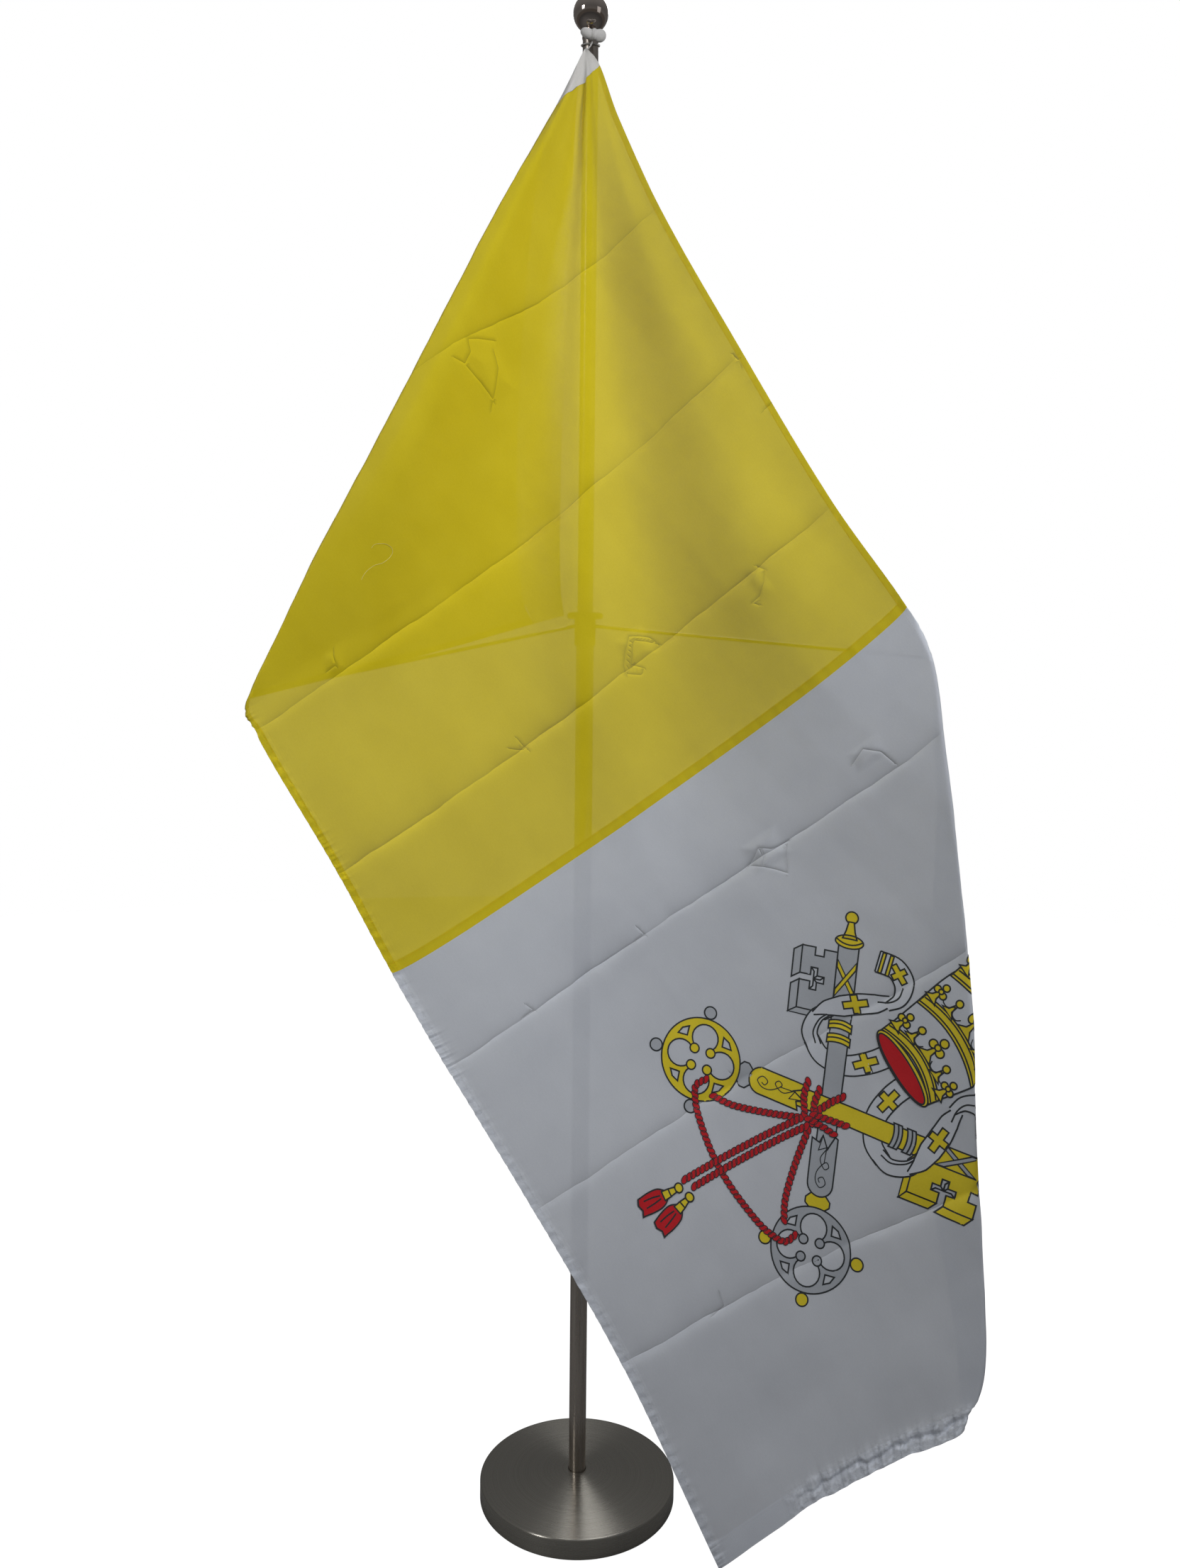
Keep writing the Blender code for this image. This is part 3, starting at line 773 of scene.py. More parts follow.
# painted highlights on the puckers, with a faint painted shade between them
puckerHighlights = puckered.nodes.new("ShaderNodeMapRange")
wire(spots.outputs[0], puckerHighlights.inputs[0])
puckerHighlights.inputs[1].default_value, puckerHighlights.inputs[2].default_value = 0.50, 0.70
puckerHighlights.inputs[3].default_value, puckerHighlights.inputs[4].default_value = -0.02, 0.30
spotShade = groupMath(puckered, "MULTIPLY_ADD", puckerHighlights.outputs[0], given.outputs["Crumple"], 1.0)
wire(spotShade, taken.inputs["Shade"])
drawnIn = groupMath(puckered, "MULTIPLY", spots.outputs[0], given.outputs["Crumple"])
wire(groupMath(puckered, "MULTIPLY", drawnIn, 0.0028), taken.inputs["Height"])

# Cloth: thin woven nylon that lets some light and some sight through
clothLook = {
    "yellow": ((0.75, 0.605, 0.008), (0.81, 0.66, 0.016)),
    "white": ((0.605, 0.640, 0.710), (0.655, 0.690, 0.760)),
    "canvas": ((0.70, 0.69, 0.67), (0.80, 0.79, 0.77)),
    "yellowCover": 0.87, "whiteCover": 0.88, "pitch": 0.0007, "canvasPitch": 0.0011,
}


def clothMaterial(name, colours, cover, pitch, bump=0.35, sheen=0.2, roughness=0.55, hemShade=0.0):
    cloth = Shader(name, Roughness=roughness, Sheen_Weight=sheen, Sheen_Roughness=0.4)
    cloth.body.inputs["Specular IOR Level"].default_value = 0.30
    uv = cloth.add("UVMap", uv_map="cloth")
    woven = cloth.add("Group", node_tree=weave)
    cloth.links.new(uv.outputs[0], woven.inputs["Vector"])
    woven.inputs["Pitch"].default_value = pitch
    colour, heights = cloth.ramp(woven.outputs["Tone"], *colours, 0.45, 0.95), []
    for tree, feeds in (
        (pressed, (("Away", "away"), ("Force", "force"))),
        (pressed, (("Away", "kinkAway"), ("Force", "kinkForce"))),
        (puckered, (("Crumple", "crumple"),)),
    ):
        effect = cloth.add("Group", node_tree=tree)
        for socket, label in feeds:
            carried = cloth.add("Attribute", attribute_name=label)
            cloth.links.new(carried.outputs["Fac"], effect.inputs[socket])
        if tree == puckered:
            cloth.links.new(uv.outputs[0], effect.inputs["Vector"])
        # the pressed lines, kinks and puckers multiply their painted shade and painted highlights into the
        # colour
        shaded = cloth.add("Mix", data_type="RGBA", blend_type="MULTIPLY")
        shaded.inputs[0].default_value = 1.0
        cloth.links.new(colour, shaded.inputs[6])
        cloth.links.new(effect.outputs["Shade"], shaded.inputs[7])
        colour = shaded.outputs[2]
        heights.append(effect.outputs["Height"])
    atHem = cloth.add("Attribute", attribute_name="doubled")
    hemTone = cloth.add("Math", {0: atHem.outputs["Fac"], 1: hemShade, 2: 1.0}, operation="MULTIPLY_ADD")
    hemmed = cloth.add("Mix", {6: colour, 7: hemTone.outputs[0]}, data_type="RGBA", blend_type="MULTIPLY")
    hemmed.inputs[0].default_value = 1.0
    cloth.feed("Base Color", hemmed.outputs[2])
    bumped = cloth.add("Bump", {"Height": woven.outputs["Height"], "Strength": bump, "Distance": 0.00012})
    lined = cloth.add("Math", {0: heights[0], 1: heights[1]}, operation="ADD")
    total = cloth.add("Math", {0: lined.outputs[0], 1: heights[2]}, operation="ADD")
    creased = cloth.add("Bump", {"Height": total.outputs[0], "Strength": 1.0, "Distance": 1.0})
    cloth.links.new(bumped.outputs[0], creased.inputs["Normal"])
    cloth.feed("Normal", creased.outputs[0])
    if cover < 1:
        dense = cloth.add("MapRange", {0: woven.outputs["Open"], 3: cover - 0.06, 4: cover + 0.06})
        cloth.feed("Alpha", dense.outputs[0])
    return cloth


yellowCloth = clothMaterial("yellowCloth", clothLook["yellow"], clothLook["yellowCover"], clothLook["pitch"])
whiteCloth = clothMaterial(
    "whiteCloth", clothLook["white"], clothLook["whiteCover"], clothLook["pitch"], hemShade=0.18
)
hemLook = [tuple(1.16 * part for part in colour) for colour in clothLook["white"]]
whiteHemCloth = clothMaterial("whiteHemCloth", hemLook, 0.98, clothLook["pitch"])
canvasCloth = clothMaterial("canvasCloth", clothLook["canvas"], 1.0, clothLook["canvasPitch"], bump=0.6)
yellowThread = Shader("yellowThread", Base_Color=(0.80, 0.46, 0.010, 1), Roughness=0.5)
whiteThread = Shader("whiteThread", Base_Color=(0.74, 0.75, 0.78, 1), Roughness=0.5)


def finer(*spans):
    # extra stations where kinks and puckers lie
    return [place for start, end in spans for place in np.arange(start, end, flag["fineStep"])]


headingWeft = Weft(0.0015, flag["heading"], (24, 40, 0))
yellowWeft = Weft(
    flag["heading"], flag["division"], (34, 200, 0), finer((0.245, 0.335), (0.690, 0.765), (0.510, 0.530))
)
whiteWeft = Weft(flag["division"], flag["length"], (0, 210, 36), finer((0.995, 1.075), (1.760, 1.798)))

sheets = []
for name, weft, finish in (
    ("headingCloth", headingWeft, canvasCloth), ("yellowCloth", yellowWeft, yellowCloth),
    ("whiteCloth", whiteWeft, whiteCloth),
):
    sheets.append(gridPiece(name, weft.points, weft.u, weft.v, finish.material))
heading, yellow, white = sheets

# Hems and the seam are a second thickness on the reverse
gap, hem, topHem = -flag["layerGap"], flag["hem"], flag["topHem"]
yellowAlong = yellowWeft.stations
whiteAlong = whiteWeft.stations
acrossHem = np.linspace(0, 1, 6)
atHem, atTop = hem * acrossHem, flag["width"] - topHem * (1 - acrossHem)
atSeam, upSeam = flag["division"] - flag["seam"] * (1 - acrossHem), np.linspace(0.0, flag["width"], 190)
atFly = np.linspace(flag["length"] - flag["flyHem"], flag["length"], 12)
upFly = np.linspace(0.0, flag["width"], 330)
yellowHems = joinPieces("yellowHems", [
    strip("a", yellowWeft, yellowAlong, atHem, gap, yellowCloth.material),
    strip("b", yellowWeft, yellowAlong, atTop, gap, yellowCloth.material),
    strip("c", yellowWeft, atSeam, upSeam, gap, yellowCloth.material),
])
whiteHems = joinPieces("whiteHems", [
    strip("a", whiteWeft, whiteAlong, atHem, gap, whiteHemCloth.material),
    strip("b", whiteWeft, whiteAlong, atTop, gap, whiteHemCloth.material),
    strip("c", whiteWeft, atFly, upFly, gap, whiteHemCloth.material),
])


def stitches(name, weft, starts, ends, material, length=0.0026, pitch=0.0034, wide=0.0004, both=True):
    # a row of sewn stitches from one place on the cloth to another, on its face and its reverse
    corners, faces = [], []
    for (u0, v0), (u1, v1) in zip(starts, ends):
        run = math.hypot(u1 - u0, v1 - v0)
        along = np.array(((u1 - u0) / run, (v1 - v0) / run))
        side = np.array((-along[1], along[0])) * wide / 2
        middles = np.arange(pitch, run - pitch, pitch)
        centre = np.array((u0, v0)) + middles[:, None] * along
        half, quarter = along * length / 2, along * length / 4
        shape = [
            centre - half, centre - quarter + side, centre + quarter + side,
            centre + half, centre + quarter - side, centre - quarter - side, centre,
        ]
        heights = (0.00005, 0.00012, 0.00012, 0.00005, 0.00012, 0.00012, 0.00034)
        for facing in (1, -1) if both else (1,):
            layers = [
                weft.place(at[:, 0], at[:, 1], facing * (height + (0 if facing > 0 else flag["layerGap"])))
                for at, height in zip(shape, heights)
            ]
            start = len(corners)
            corners.extend(np.stack(layers, axis=1).reshape(-1, 3).tolist())
            for i in range(len(middles)):
                base = start + 7 * i
                for k in range(6):
                    pair = (base + k, base + (k + 1) % 6)
                    faces.append((*(pair if facing < 0 else pair[::-1]), base + 6))
    mesh = bpy.data.meshes.new(name)
    mesh.from_pydata(corners, [], faces)
    mesh.materials.append(material)
    piece = bpy.data.objects.new(name, mesh)
    bpy.context.scene.collection.objects.link(piece)
    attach(piece, "root")
    return piece


# Rows of stitches: along both hems just inside their edges, two at the seam, and those of the fly and heading
wide, division, fly = flag["width"], flag["division"], flag["length"] - flag["flyHem"]
lowRow, highRow, nearRow, farRow = hem - 0.0016, wide - topHem + 0.0014, division - 0.0020, division - 0.0128
yellowStitches = stitches(
    "yellowStitches", yellowWeft,
    [(0.058, lowRow), (0.058, highRow), (nearRow, 0), (farRow, 0)],
    [(division, lowRow), (division, highRow), (nearRow, wide), (farRow, wide)],
    yellowThread.material,
)
whiteStitches = stitches(
    "whiteStitches", whiteWeft,
    [(division, lowRow), (division, highRow), (fly + 0.003, 0)],
    [(fly, lowRow), (fly, highRow), (fly + 0.003, wide)],
    whiteThread.material,
)
headingStitches = stitches(
    "headingStitches", headingWeft, [(0.0520, 0), (0.0440, 0)], [(0.0520, wide), (0.0440, wide)],
    whiteThread.material,
)

for piece, node, slot in (
    (heading, "heading", "canvas"), (yellow, "yellow_panel", "yellow_cloth"),
    (white, "white_panel", "white_cloth"),
):
    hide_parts(node)
print("cloth hung")

# The printed emblem: gold and silver keys, tiara, lappets and a red cord, drawn round its middle.
# x runs to the fly and y to the top edge, in metres from the middle
emblem = {
    "middle": (1.374, 0.410), "crossing": (0.0, 0.018), "slope": 42.0, "line": 0.0021,
    "lift": 0.00012, "layer": 0.000014, "shaft": 0.0125, "ring": 0.056, "ropePitch": 0.0074,
}
printColours = {
    "gold": ((0.76, 0.61, 0.030), (0.84, 0.68, 0.040)),
    "silver": ((0.42, 0.45, 0.50), (0.47, 0.50, 0.55)),
    "red": ((0.56, 0.014, 0.022), (0.64, 0.022, 0.030)),
    "white": clothLook["white"],
    "line": ((0.030, 0.034, 0.038), (0.045, 0.049, 0.054)),
}
drawn = {colour: [] for colour in printColours}
layer = [0]


def fill(colour, outline, holes=(), line=True):
    # a flat shape over what is already drawn, with its dark outline
    loops = [outline, *holes]
    flat = [point for loop in loops for point in loop]
    for corners in tessellate_polygon([[Vector((*point, 0)) for point in loop] for loop in loops]):
        drawn[colour].append([(*flat[i], layer[0]) for i in corners])
    if line:
        for loop in loops:
            stroke(loop, closed=True)
    layer[0] += 1


def stroke(points, closed=False, wide=None, colour="line"):
    path = np.array(points, float)
    if closed:
        path = np.vstack((path, path[:1]))
    keep = [0] + [i for i in range(1, len(path)) if np.linalg.norm(path[i] - path[i - 1]) > 1e-6]
    path = path[keep]
    run = np.diff(path, axis=0)
    run /= np.linalg.norm(run, axis=1)[:, None]
    before, after = np.vstack((run[:1], run)), np.vstack((run, run[-1:]))
    if closed:
        before[0], after[-1] = run[-1], run[0]
    bend = before + after
    bend /= np.maximum(np.linalg.norm(bend, axis=1), 0.2)[:, None]
    cosine = np.maximum((bend * after).sum(axis=1), 0.45)
    side = np.stack((-bend[:, 1], bend[:, 0]), axis=1) / cosine[:, None] * (wide or emblem["line"]) / 2
    left, right = path + side, path - side
    for i in range(len(path) - 1):
        corners = (right[i], right[i + 1], left[i + 1], left[i])
        drawn[colour].append([(*corner, layer[0] + 0.5) for corner in corners])


def spun(shape, x, y, turn):
    # a shape turned by some degrees and moved to its place
    across, up = math.cos(math.radians(turn)), math.sin(math.radians(turn))
    return [(x + across * a - up * b, y + up * a + across * b) for a, b in shape]


def oval(x, y, wide, high=None, turn=0.0, count=28, start=0.0, end=360.0):
    high = high or wide
    whole = end - start >= 360
    angles = np.radians(np.linspace(start, end, count, endpoint=not whole))
    return spun(np.stack((wide * np.cos(angles), high * np.sin(angles)), axis=1), x, y, turn)


def smoothPath(points, steps=7):
    # a soft curve through a few points
    path = np.array(points, float)
    ends = np.vstack((2 * path[0] - path[1], path, 2 * path[-1] - path[-2]))
    out = []
    for i in range(1, len(ends) - 2):
        a, b, c, d = ends[i - 1:i + 3]
        square, cube = 2 * a - 5 * b + 4 * c - d, 3 * b - a - 3 * c + d
        for t in np.linspace(0, 1, steps, endpoint=False):
            out.append(0.5 * (2 * b + (c - a) * t + square * t**2 + cube * t**3))
    out.append(path[-1])
    return np.array(out)


def onKey(points, mirror):
    # from along and beside a key to the emblem: along to its tip, beside to its wards
    a = math.radians(emblem["slope"])
    return [
        (mirror * (t * math.cos(a) + beside * math.sin(a)) + emblem["crossing"][0],
         t * math.sin(a) - beside * math.cos(a) + emblem["crossing"][1])
        for t, beside in points
    ]


def bow(t0, t1, half, bulge):
    # a collar across the shaft with ends that swell towards the tip
    across = np.linspace(-1, 1, 9)
    low = [(t0 + bulge * (1 - c * c), half * c) for c in across]
    high = [(t1 + bulge * (1 - c * c), half * c) for c in across[::-1]]
    return low + high


def key(metal, trim, mirror):
    half, ring, start = emblem["shaft"], emblem["ring"], layer[0]
    plate = [
        (0.205, 0.010), (0.205, 0.031), (0.195, 0.031), (0.195, 0.043), (0.206, 0.043),
        (0.206, 0.061), (0.1675, 0.061), (0.1675, 0.0465), (0.178, 0.0465), (0.178, 0.0375),
        (0.1675, 0.0375), (0.1675, 0.028), (0.1585, 0.028), (0.1585, 0.0375), (0.148, 0.0375),
        (0.148, 0.0465), (0.1585, 0.0465), (0.1585, 0.061), (0.120, 0.061), (0.120, 0.010),
    ]
    shift = (-0.008, 0.011)
    for corner in (5, 17, 18):
        (t0, s0), (t1, s1), (t2, s2) = plate[corner], plate[corner + 1], shift
        fill(metal, onKey([(t0, s0), (t1, s1), (t1 + t2, s1 + s2), (t0 + t2, s0 + s2)], mirror))
    layer[0] = start + 1
    fill(metal, onKey(plate, mirror))
    stroke(onKey([(0.1675, 0.0375), (0.163, 0.042), (0.1585, 0.0375)], mirror))
    stroke(onKey([(0.178, 0.0465), (0.173, 0.042), (0.163, 0.042), (0.153, 0.042), (0.148, 0.0465)], mirror))
    stroke(onKey([(0.163, 0.042), (0.163, 0.033), (0.1675, 0.028)], mirror))
    shaft = [(-0.050, -half), (0.222, -half - 0.001), (0.222, half + 0.001), (-0.050, half)]
    fill(metal, onKey(shaft, mirror))
    for t0, t1, s0, s1 in ((0.146, 0.196, -half, half), (0.196, 0.146, -half, half)):
        lean = 0.010 if t1 > t0 else -0.010
        fill(trim, onKey([(t0, s0), (t0 + lean, s0), (t1, s1), (t1 - lean, s1)], mirror))
    for middle in (0.090, 0.108):
        layer[0] = start + 4
        fill(trim, onKey(bow(middle - 0.006, middle + 0.005, half + 0.003, 0.003), mirror))
        line = [(middle + 0.003 * (1 - c * c), (half + 0.003) * c) for c in np.linspace(-1, 1, 9)]
        stroke(onKey(line, mirror))
    cone = [(0.226, 0.0095), (0.236, 0.006), (0.249, 0.0035)]
    fill(trim, onKey([*[(t, -wide) for t, wide in cone], *cone[::-1]], mirror))
    layer[0] = start + 4
    fill(trim, onKey(oval(0.255, 0, 0.0082), mirror))
    fill(trim, onKey(oval(0.222, 0, 0.009, 0.0185), mirror))
    stroke(onKey([(0.224 - 0.006 * (1 - c * c), 0.017 * c) for c in np.linspace(-1, 1, 9)], mirror))
    # collar, handle and its scroll
    spool = [(-0.132, -0.010), (-0.126, -0.017), (-0.119, -0.017), (-0.112, -0.010), (-0.112, 0.010),
             (-0.119, 0.017), (-0.126, 0.017), (-0.132, 0.010)]
    layer[0] = start + 3
    fill(trim, onKey(spool, mirror))
    plateEnd = [(-0.098 - 0.017 * math.cos(a), 0.0175 * math.sin(a)) for a in np.linspace(-1.57, 1.57, 14)]
    scroll = [
        (-0.042, 0.0185), (-0.046, 0.008), (-0.036, 0.004), (-0.052, -0.004),
        (-0.034, -0.0125), (-0.036, -0.0165),
    ]
    fill(metal, onKey([*plateEnd, *scroll], mirror))
    stroke(onKey([(-0.036, 0.004), (-0.056, 0.008), (-0.050, -0.003), (-0.070, -0.002)], mirror), wide=0.0014)
    swirl = smoothPath([
        (-0.052, -0.003), (-0.066, 0.004), (-0.078, -0.003), (-0.074, -0.009),
        (-0.069, -0.004), (-0.082, 0.006), (-0.095, 0.007), (-0.103, 0.000),
        (-0.097, -0.007), (-0.089, -0.003), (-0.092, 0.003), (-0.097, 0.001),
    ])
    stroke(onKey(swirl, mirror), wide=0.0014)
    # bow: a ring with a four-lobed opening
    centre = -0.186
    layer[0] = start + 1
    for side in (90, 180, 270):
        a = math.radians(side)
        fill(trim, onKey(oval(centre + 0.0655 * math.cos(a), 0.0655 * math.sin(a), 0.0086), mirror))
    opening, cuts = [], []
    for turn in (0, 90, 180, 270):
        a = math.radians(turn)
        x, y = centre + 0.0295 * math.cos(a), 0.0295 * math.sin(a)
        opening += oval(x, y, 0.0185, turn=turn, start=-148, end=148, count=20)
        b = math.radians(turn + 45)
        points = []
        for away, spread in ((0.0362, 0.0), (0.0462, -12.0), (0.0482, 0.0), (0.0462, 12.0)):
            c = b + math.radians(spread)
            points.append((centre + away * math.cos(c), away * math.sin(c)))
        cuts.append(onKey(points, mirror))
    layer[0] = start + 4
    fill(metal, onKey(oval(centre, 0, ring, count=64), mirror), holes=[onKey(opening, mirror), *cuts])
    for turn in (45, 135, 225, 315):
        a = math.radians(turn)
        layer[0] = start + 5
        fill(metal, onKey(oval(centre + 0.0165 * math.cos(a), 0.0165 * math.sin(a), 0.0064), mirror))
    layer[0] = start + 6


def ribbon(points, widths, ends=()):
    # a printed band along a soft path, lined at its sides and at the chosen ends
    path = smoothPath(points)
    run = np.gradient(path, axis=0)
    run /= np.linalg.norm(run, axis=1)[:, None]
    side = np.stack((-run[:, 1], run[:, 0]), axis=1)
    half = np.interp(np.linspace(0, 1, len(path)), np.linspace(0, 1, len(widths)), widths)[:, None] / 2
    left, right = path + side * half, path - side * half
    fill("white", [*map(tuple, left), *map(tuple, right[::-1])], line=False)
    layer[0] -= 1
    stroke(left)
    stroke(right)
    for end in ends:
        stroke([left[end], right[end]])
    layer[0] += 1


def lappetCross(x, y, turn, size=0.0165):
    thick, across = size * 0.28, size * 0.74
    shape = [
        (-across, -thick), (-across, thick), (-thick, thick), (-thick, size), (thick, size), (thick, thick),
        (across, thick), (across, -thick), (thick, -thick), (thick, -size), (-thick, -size), (-thick, -thick),
    ]
    fill("gold", spun(shape, x, y, turn))


def mirrored(points, mirror):
    return [(-mirror * x, y) for x, y in points]


def lappetBehind(mirror):
    path = [(-0.020, 0.132), (-0.024, 0.100), (-0.036, 0.068), (-0.060, 0.047), (-0.086, 0.046)]
    ribbon(mirrored(path, mirror), [0.027, 0.027, 0.026, 0.024, 0.022])
    lappetCross(mirror * 0.0265, 0.094, mirror * 14)


def lappetFront(mirror):
    # round the shaft, over it, and back on itself to the barred end
    ribbon(
        mirrored([(-0.076, 0.0445), (-0.095, 0.050), (-0.107, 0.070), (-0.106, 0.092)], mirror),
        [0.020, 0.021, 0.019, 0.015],
    )
    stroke(smoothPath(mirrored([(-0.078, 0.048), (-0.092, 0.054), (-0.101, 0.070), (-0.102, 0.084)], mirror)))
    rise = [
        (-0.112, 0.068), (-0.109, 0.088), (-0.101, 0.108), (-0.092, 0.130), (-0.082, 0.150), (-0.076, 0.168),
    ]
    ribbon(mirrored(rise, mirror), [0.004, 0.019, 0.027, 0.027, 0.023, 0.012])
    back = [(-0.072, 0.160), (-0.072, 0.180), (-0.086, 0.196), (-0.107, 0.198), (-0.126, 0.184)]
    ribbon(mirrored(back, mirror), [0.010, 0.018, 0.026, 0.028, 0.029], ends=(-1,))
    stroke(smoothPath(mirrored([(-0.083, 0.152), (-0.075, 0.166), (-0.074, 0.180), (-0.082, 0.192)], mirror)))
    lappetCross(mirror * 0.0945, 0.125, mirror * 23)
    lappetCross(mirror * 0.0985, 0.1975, -mirror * 84, 0.0135)
    for x, y in ((-0.1135, 0.1935), (-0.1215, 0.1875)):
        bar = [(-0.0022, -0.0138), (0.0022, -0.0138), (0.0022, 0.0138), (-0.0022, 0.0138)]
        fill("gold", spun(bar, -mirror * x, y, -mirror * 38))


def stem(x, y, *outline):
    # a stem that stands at (x, y), from half widths and heights, foot first
    left = [(x - half, y + rise) for half, rise in outline]
    return left + [(x + half, y + rise) for half, rise in outline[::-1]]


def crownBand(low, high, half, bowUp, leaf):
    start = layer[0]
    across = np.linspace(-1, 1, 25)
    lower = [(half * c, low + bowUp * (1 - c * c)) for c in across]
    upper = [(half * 1.03 * c, high + bowUp * (1 - c * c)) for c in across[::-1]]
    fill("gold", lower + upper)
    for share in (0.25, 0.78):
        stroke([(half * c, low + share * (high - low) + bowUp * (1 - c * c)) for c in across])

    def edge(c):
        return half * 1.03 * c, high + bowUp * (1 - c * c)

    # leaves on the upper edge: three-lobed ones, and small pearls on scrolls between
    for c, size in ((-0.96, 0.8), (0.0, 1.0), (0.96, 0.8)):
        x, y = edge(c)
        x -= 0.004 * np.sign(c)
        lift = leaf * size
        layer[0] = start + 1
        fill("gold", stem(x, y, (0.012 * size, 0), (0.004, 0.25 * lift), (0.002, 0.6 * lift)))
        for dx, dy in ((-0.0068, 0.62), (0.0068, 0.62), (0.0, 1.0)):
            fill("gold", oval(x + dx * size, y + dy * lift, 0.0056 * size, 0.0056 * size, count=16))
        fill("gold", oval(x, y + 0.68 * lift, 0.0040 * size, count=14))
    for c in (-0.50, 0.50):
        x, y = edge(c)
        layer[0] = start + 1
        for side in (-1, 1):
            curl = ((0, 0.42), (0.005, 0.14), (0.013, 0.12), (0.017, 0.30))
            stroke(smoothPath([(x + side * away, y + rise * leaf) for away, rise in curl]), wide=0.0016)
        fill("gold", stem(x, y, (0.010, 0), (0.003, 0.16 * leaf), (0.0012, 0.5 * leaf)))
        fill("gold", oval(x, y + 0.62 * leaf, 0.0048, count=16))
    layer[0] = start + 4


def tiara():
    sides = [
        (0.050, 0.134), (0.054, 0.160), (0.060, 0.200), (0.066, 0.240),
        (0.066, 0.270), (0.059, 0.300), (0.044, 0.326), (0.018, 0.343),
    ]
    right = smoothPath(sides, 5)
    outline = [tuple(point) for point in right] + [(-x, y) for x, y in right[::-1]]
    bottom = oval(0, 0.133, 0.050, 0.013, count=20, start=180, end=360)
    fill("white", [*outline, *bottom[1:-1]])
    fill("gold", oval(0, 0.346, 0.016, 0.006, count=20))
    fill("gold", oval(0, 0.360, 0.0105))
    lappetCross(0, 0.380, 0, 0.011)
    crownBand(0.254, 0.270, 0.0655, 0.012, 0.030)
    crownBand(0.198, 0.214, 0.0595, 0.013, 0.032)
    crownBand(0.138, 0.153, 0.0520, 0.014, 0.032)
    fill("gold", oval(0, 0.134, 0.0525, 0.0155, count=48))
    fill("red", oval(0, 0.1325, 0.0490, 0.0120, count=48))


def rope(points):
    # a twisted cord: slanted lobes one after another
    path, start = smoothPath(points, 12), layer[0]
    steps = np.concatenate(([0], np.cumsum(np.linalg.norm(np.diff(path, axis=0), axis=1))))
    for at in np.arange(emblem["ropePitch"] / 2, steps[-1], emblem["ropePitch"]):
        before, middle, after = (
            np.array([np.interp(at + shift, steps, path[:, axis]) for axis in (0, 1)])
            for shift in (-0.001, 0, 0.001)
        )
        way = math.degrees(math.atan2(*(after - before)[::-1]))
        lobe = oval(*middle, 0.0062, 0.0038, turn=way + 34, count=12)
        layer[0] = start
        fill("red", lobe, line=False)
        layer[0] = start
        stroke(lobe, closed=True, wide=0.0011)
    layer[0] = start + 2


def tassel(x, y, turn):
    def put(shape):
        return spun(shape, x, y, turn)

    bell = smoothPath([(-0.0045, 0.0), (-0.0115, -0.010), (-0.0130, -0.024), (-0.0115, -0.040)], 5)
    fringe = [(-0.004, -0.043), (0.004, -0.040), (0.0115, -0.043)]
    fill("red", put([*bell, *fringe, *[(-a, b) for a, b in bell[::-1]]]))
    for shift in (-0.005, 0.003):
        stroke(put(smoothPath([(shift * 0.5, -0.010), (shift, -0.022), (shift * 1.2, -0.034)], 4)))
    cap = [(-0.0052, 0.004), (-0.0062, -0.006), (0.0062, -0.006), (0.0052, 0.004)]
    fill("gold", put([*cap, (0.0034, 0.013), (-0.0034, 0.013)]))
    stroke(put([(-0.0052, 0.004), (0.0052, 0.004)]))
    fill("gold", put(oval(0.0, 0.0185, 0.0062, 0.0055, count=18)))


lappetBehind(-1)
lappetBehind(1)
key("silver", "gold", -1)
key("gold", "silver", 1)
lappetFront(-1)
lappetFront(1)
tiara()
ringCord = [(-0.112, -0.112), (-0.113, -0.132), (-0.098, -0.144), (-0.072, -0.154), (-0.026, -0.163)]
rope([*ringCord, (0.020, -0.163), *[(-x, y) for x, y in ringCord[::-1][1:]]])
for side in (-1, 1):
    rope([(side * 0.092, -0.121), (side * 0.066, -0.101), (side * 0.036, -0.064), (side * 0.006, -0.020)])
rope([(-0.008, -0.020), (-0.013, -0.080), (-0.022, -0.216)])
rope([(0.004, -0.020), (-0.001, -0.080), (-0.008, -0.209)])
for strand in (
    [(-0.044, 0.014), (-0.030, -0.004), (-0.008, -0.018)],
    [(-0.028, 0.022), (-0.014, 0.002), (0.006, -0.012)],
    [(-0.004, 0.046), (-0.006, 0.022), (-0.004, -0.003), (0.004, -0.016)],
    [(0.030, 0.028), (0.012, 0.010), (-0.008, -0.010)],
    [(0.032, 0.006), (0.014, -0.004), (-0.006, -0.018)],
):
    rope(strand)
tassel(0.0035, -0.240, 12)
tassel(-0.0195, -0.247, -6)


def sliced(shapes, axis):
    # cuts flat shapes along every whole number of one coordinate
    out = []
    for shape in shapes:
        low, high = min(q[axis] for q in shape), max(q[axis] for q in shape)
        rest = shape
        for cut in range(math.floor(low) + 1, math.ceil(high)):
            lower, upper = [], []
            for one, two in zip(rest, [*rest[1:], rest[0]]):
                (lower if one[axis] <= cut else upper).append(one)
                if (one[axis] - cut) * (two[axis] - cut) < 0:
                    t = (cut - one[axis]) / (two[axis] - one[axis])
                    cross = tuple(a + t * (b - a) for a, b in zip(one, two))
                    lower.append(cross)
                    upper.append(cross)
                elif one[axis] == cut:
                    upper.append(one)
            if len(lower) > 2:
                out.append(lower)
            rest = upper
        if len(rest) > 2:
            out.append(rest)
    return out


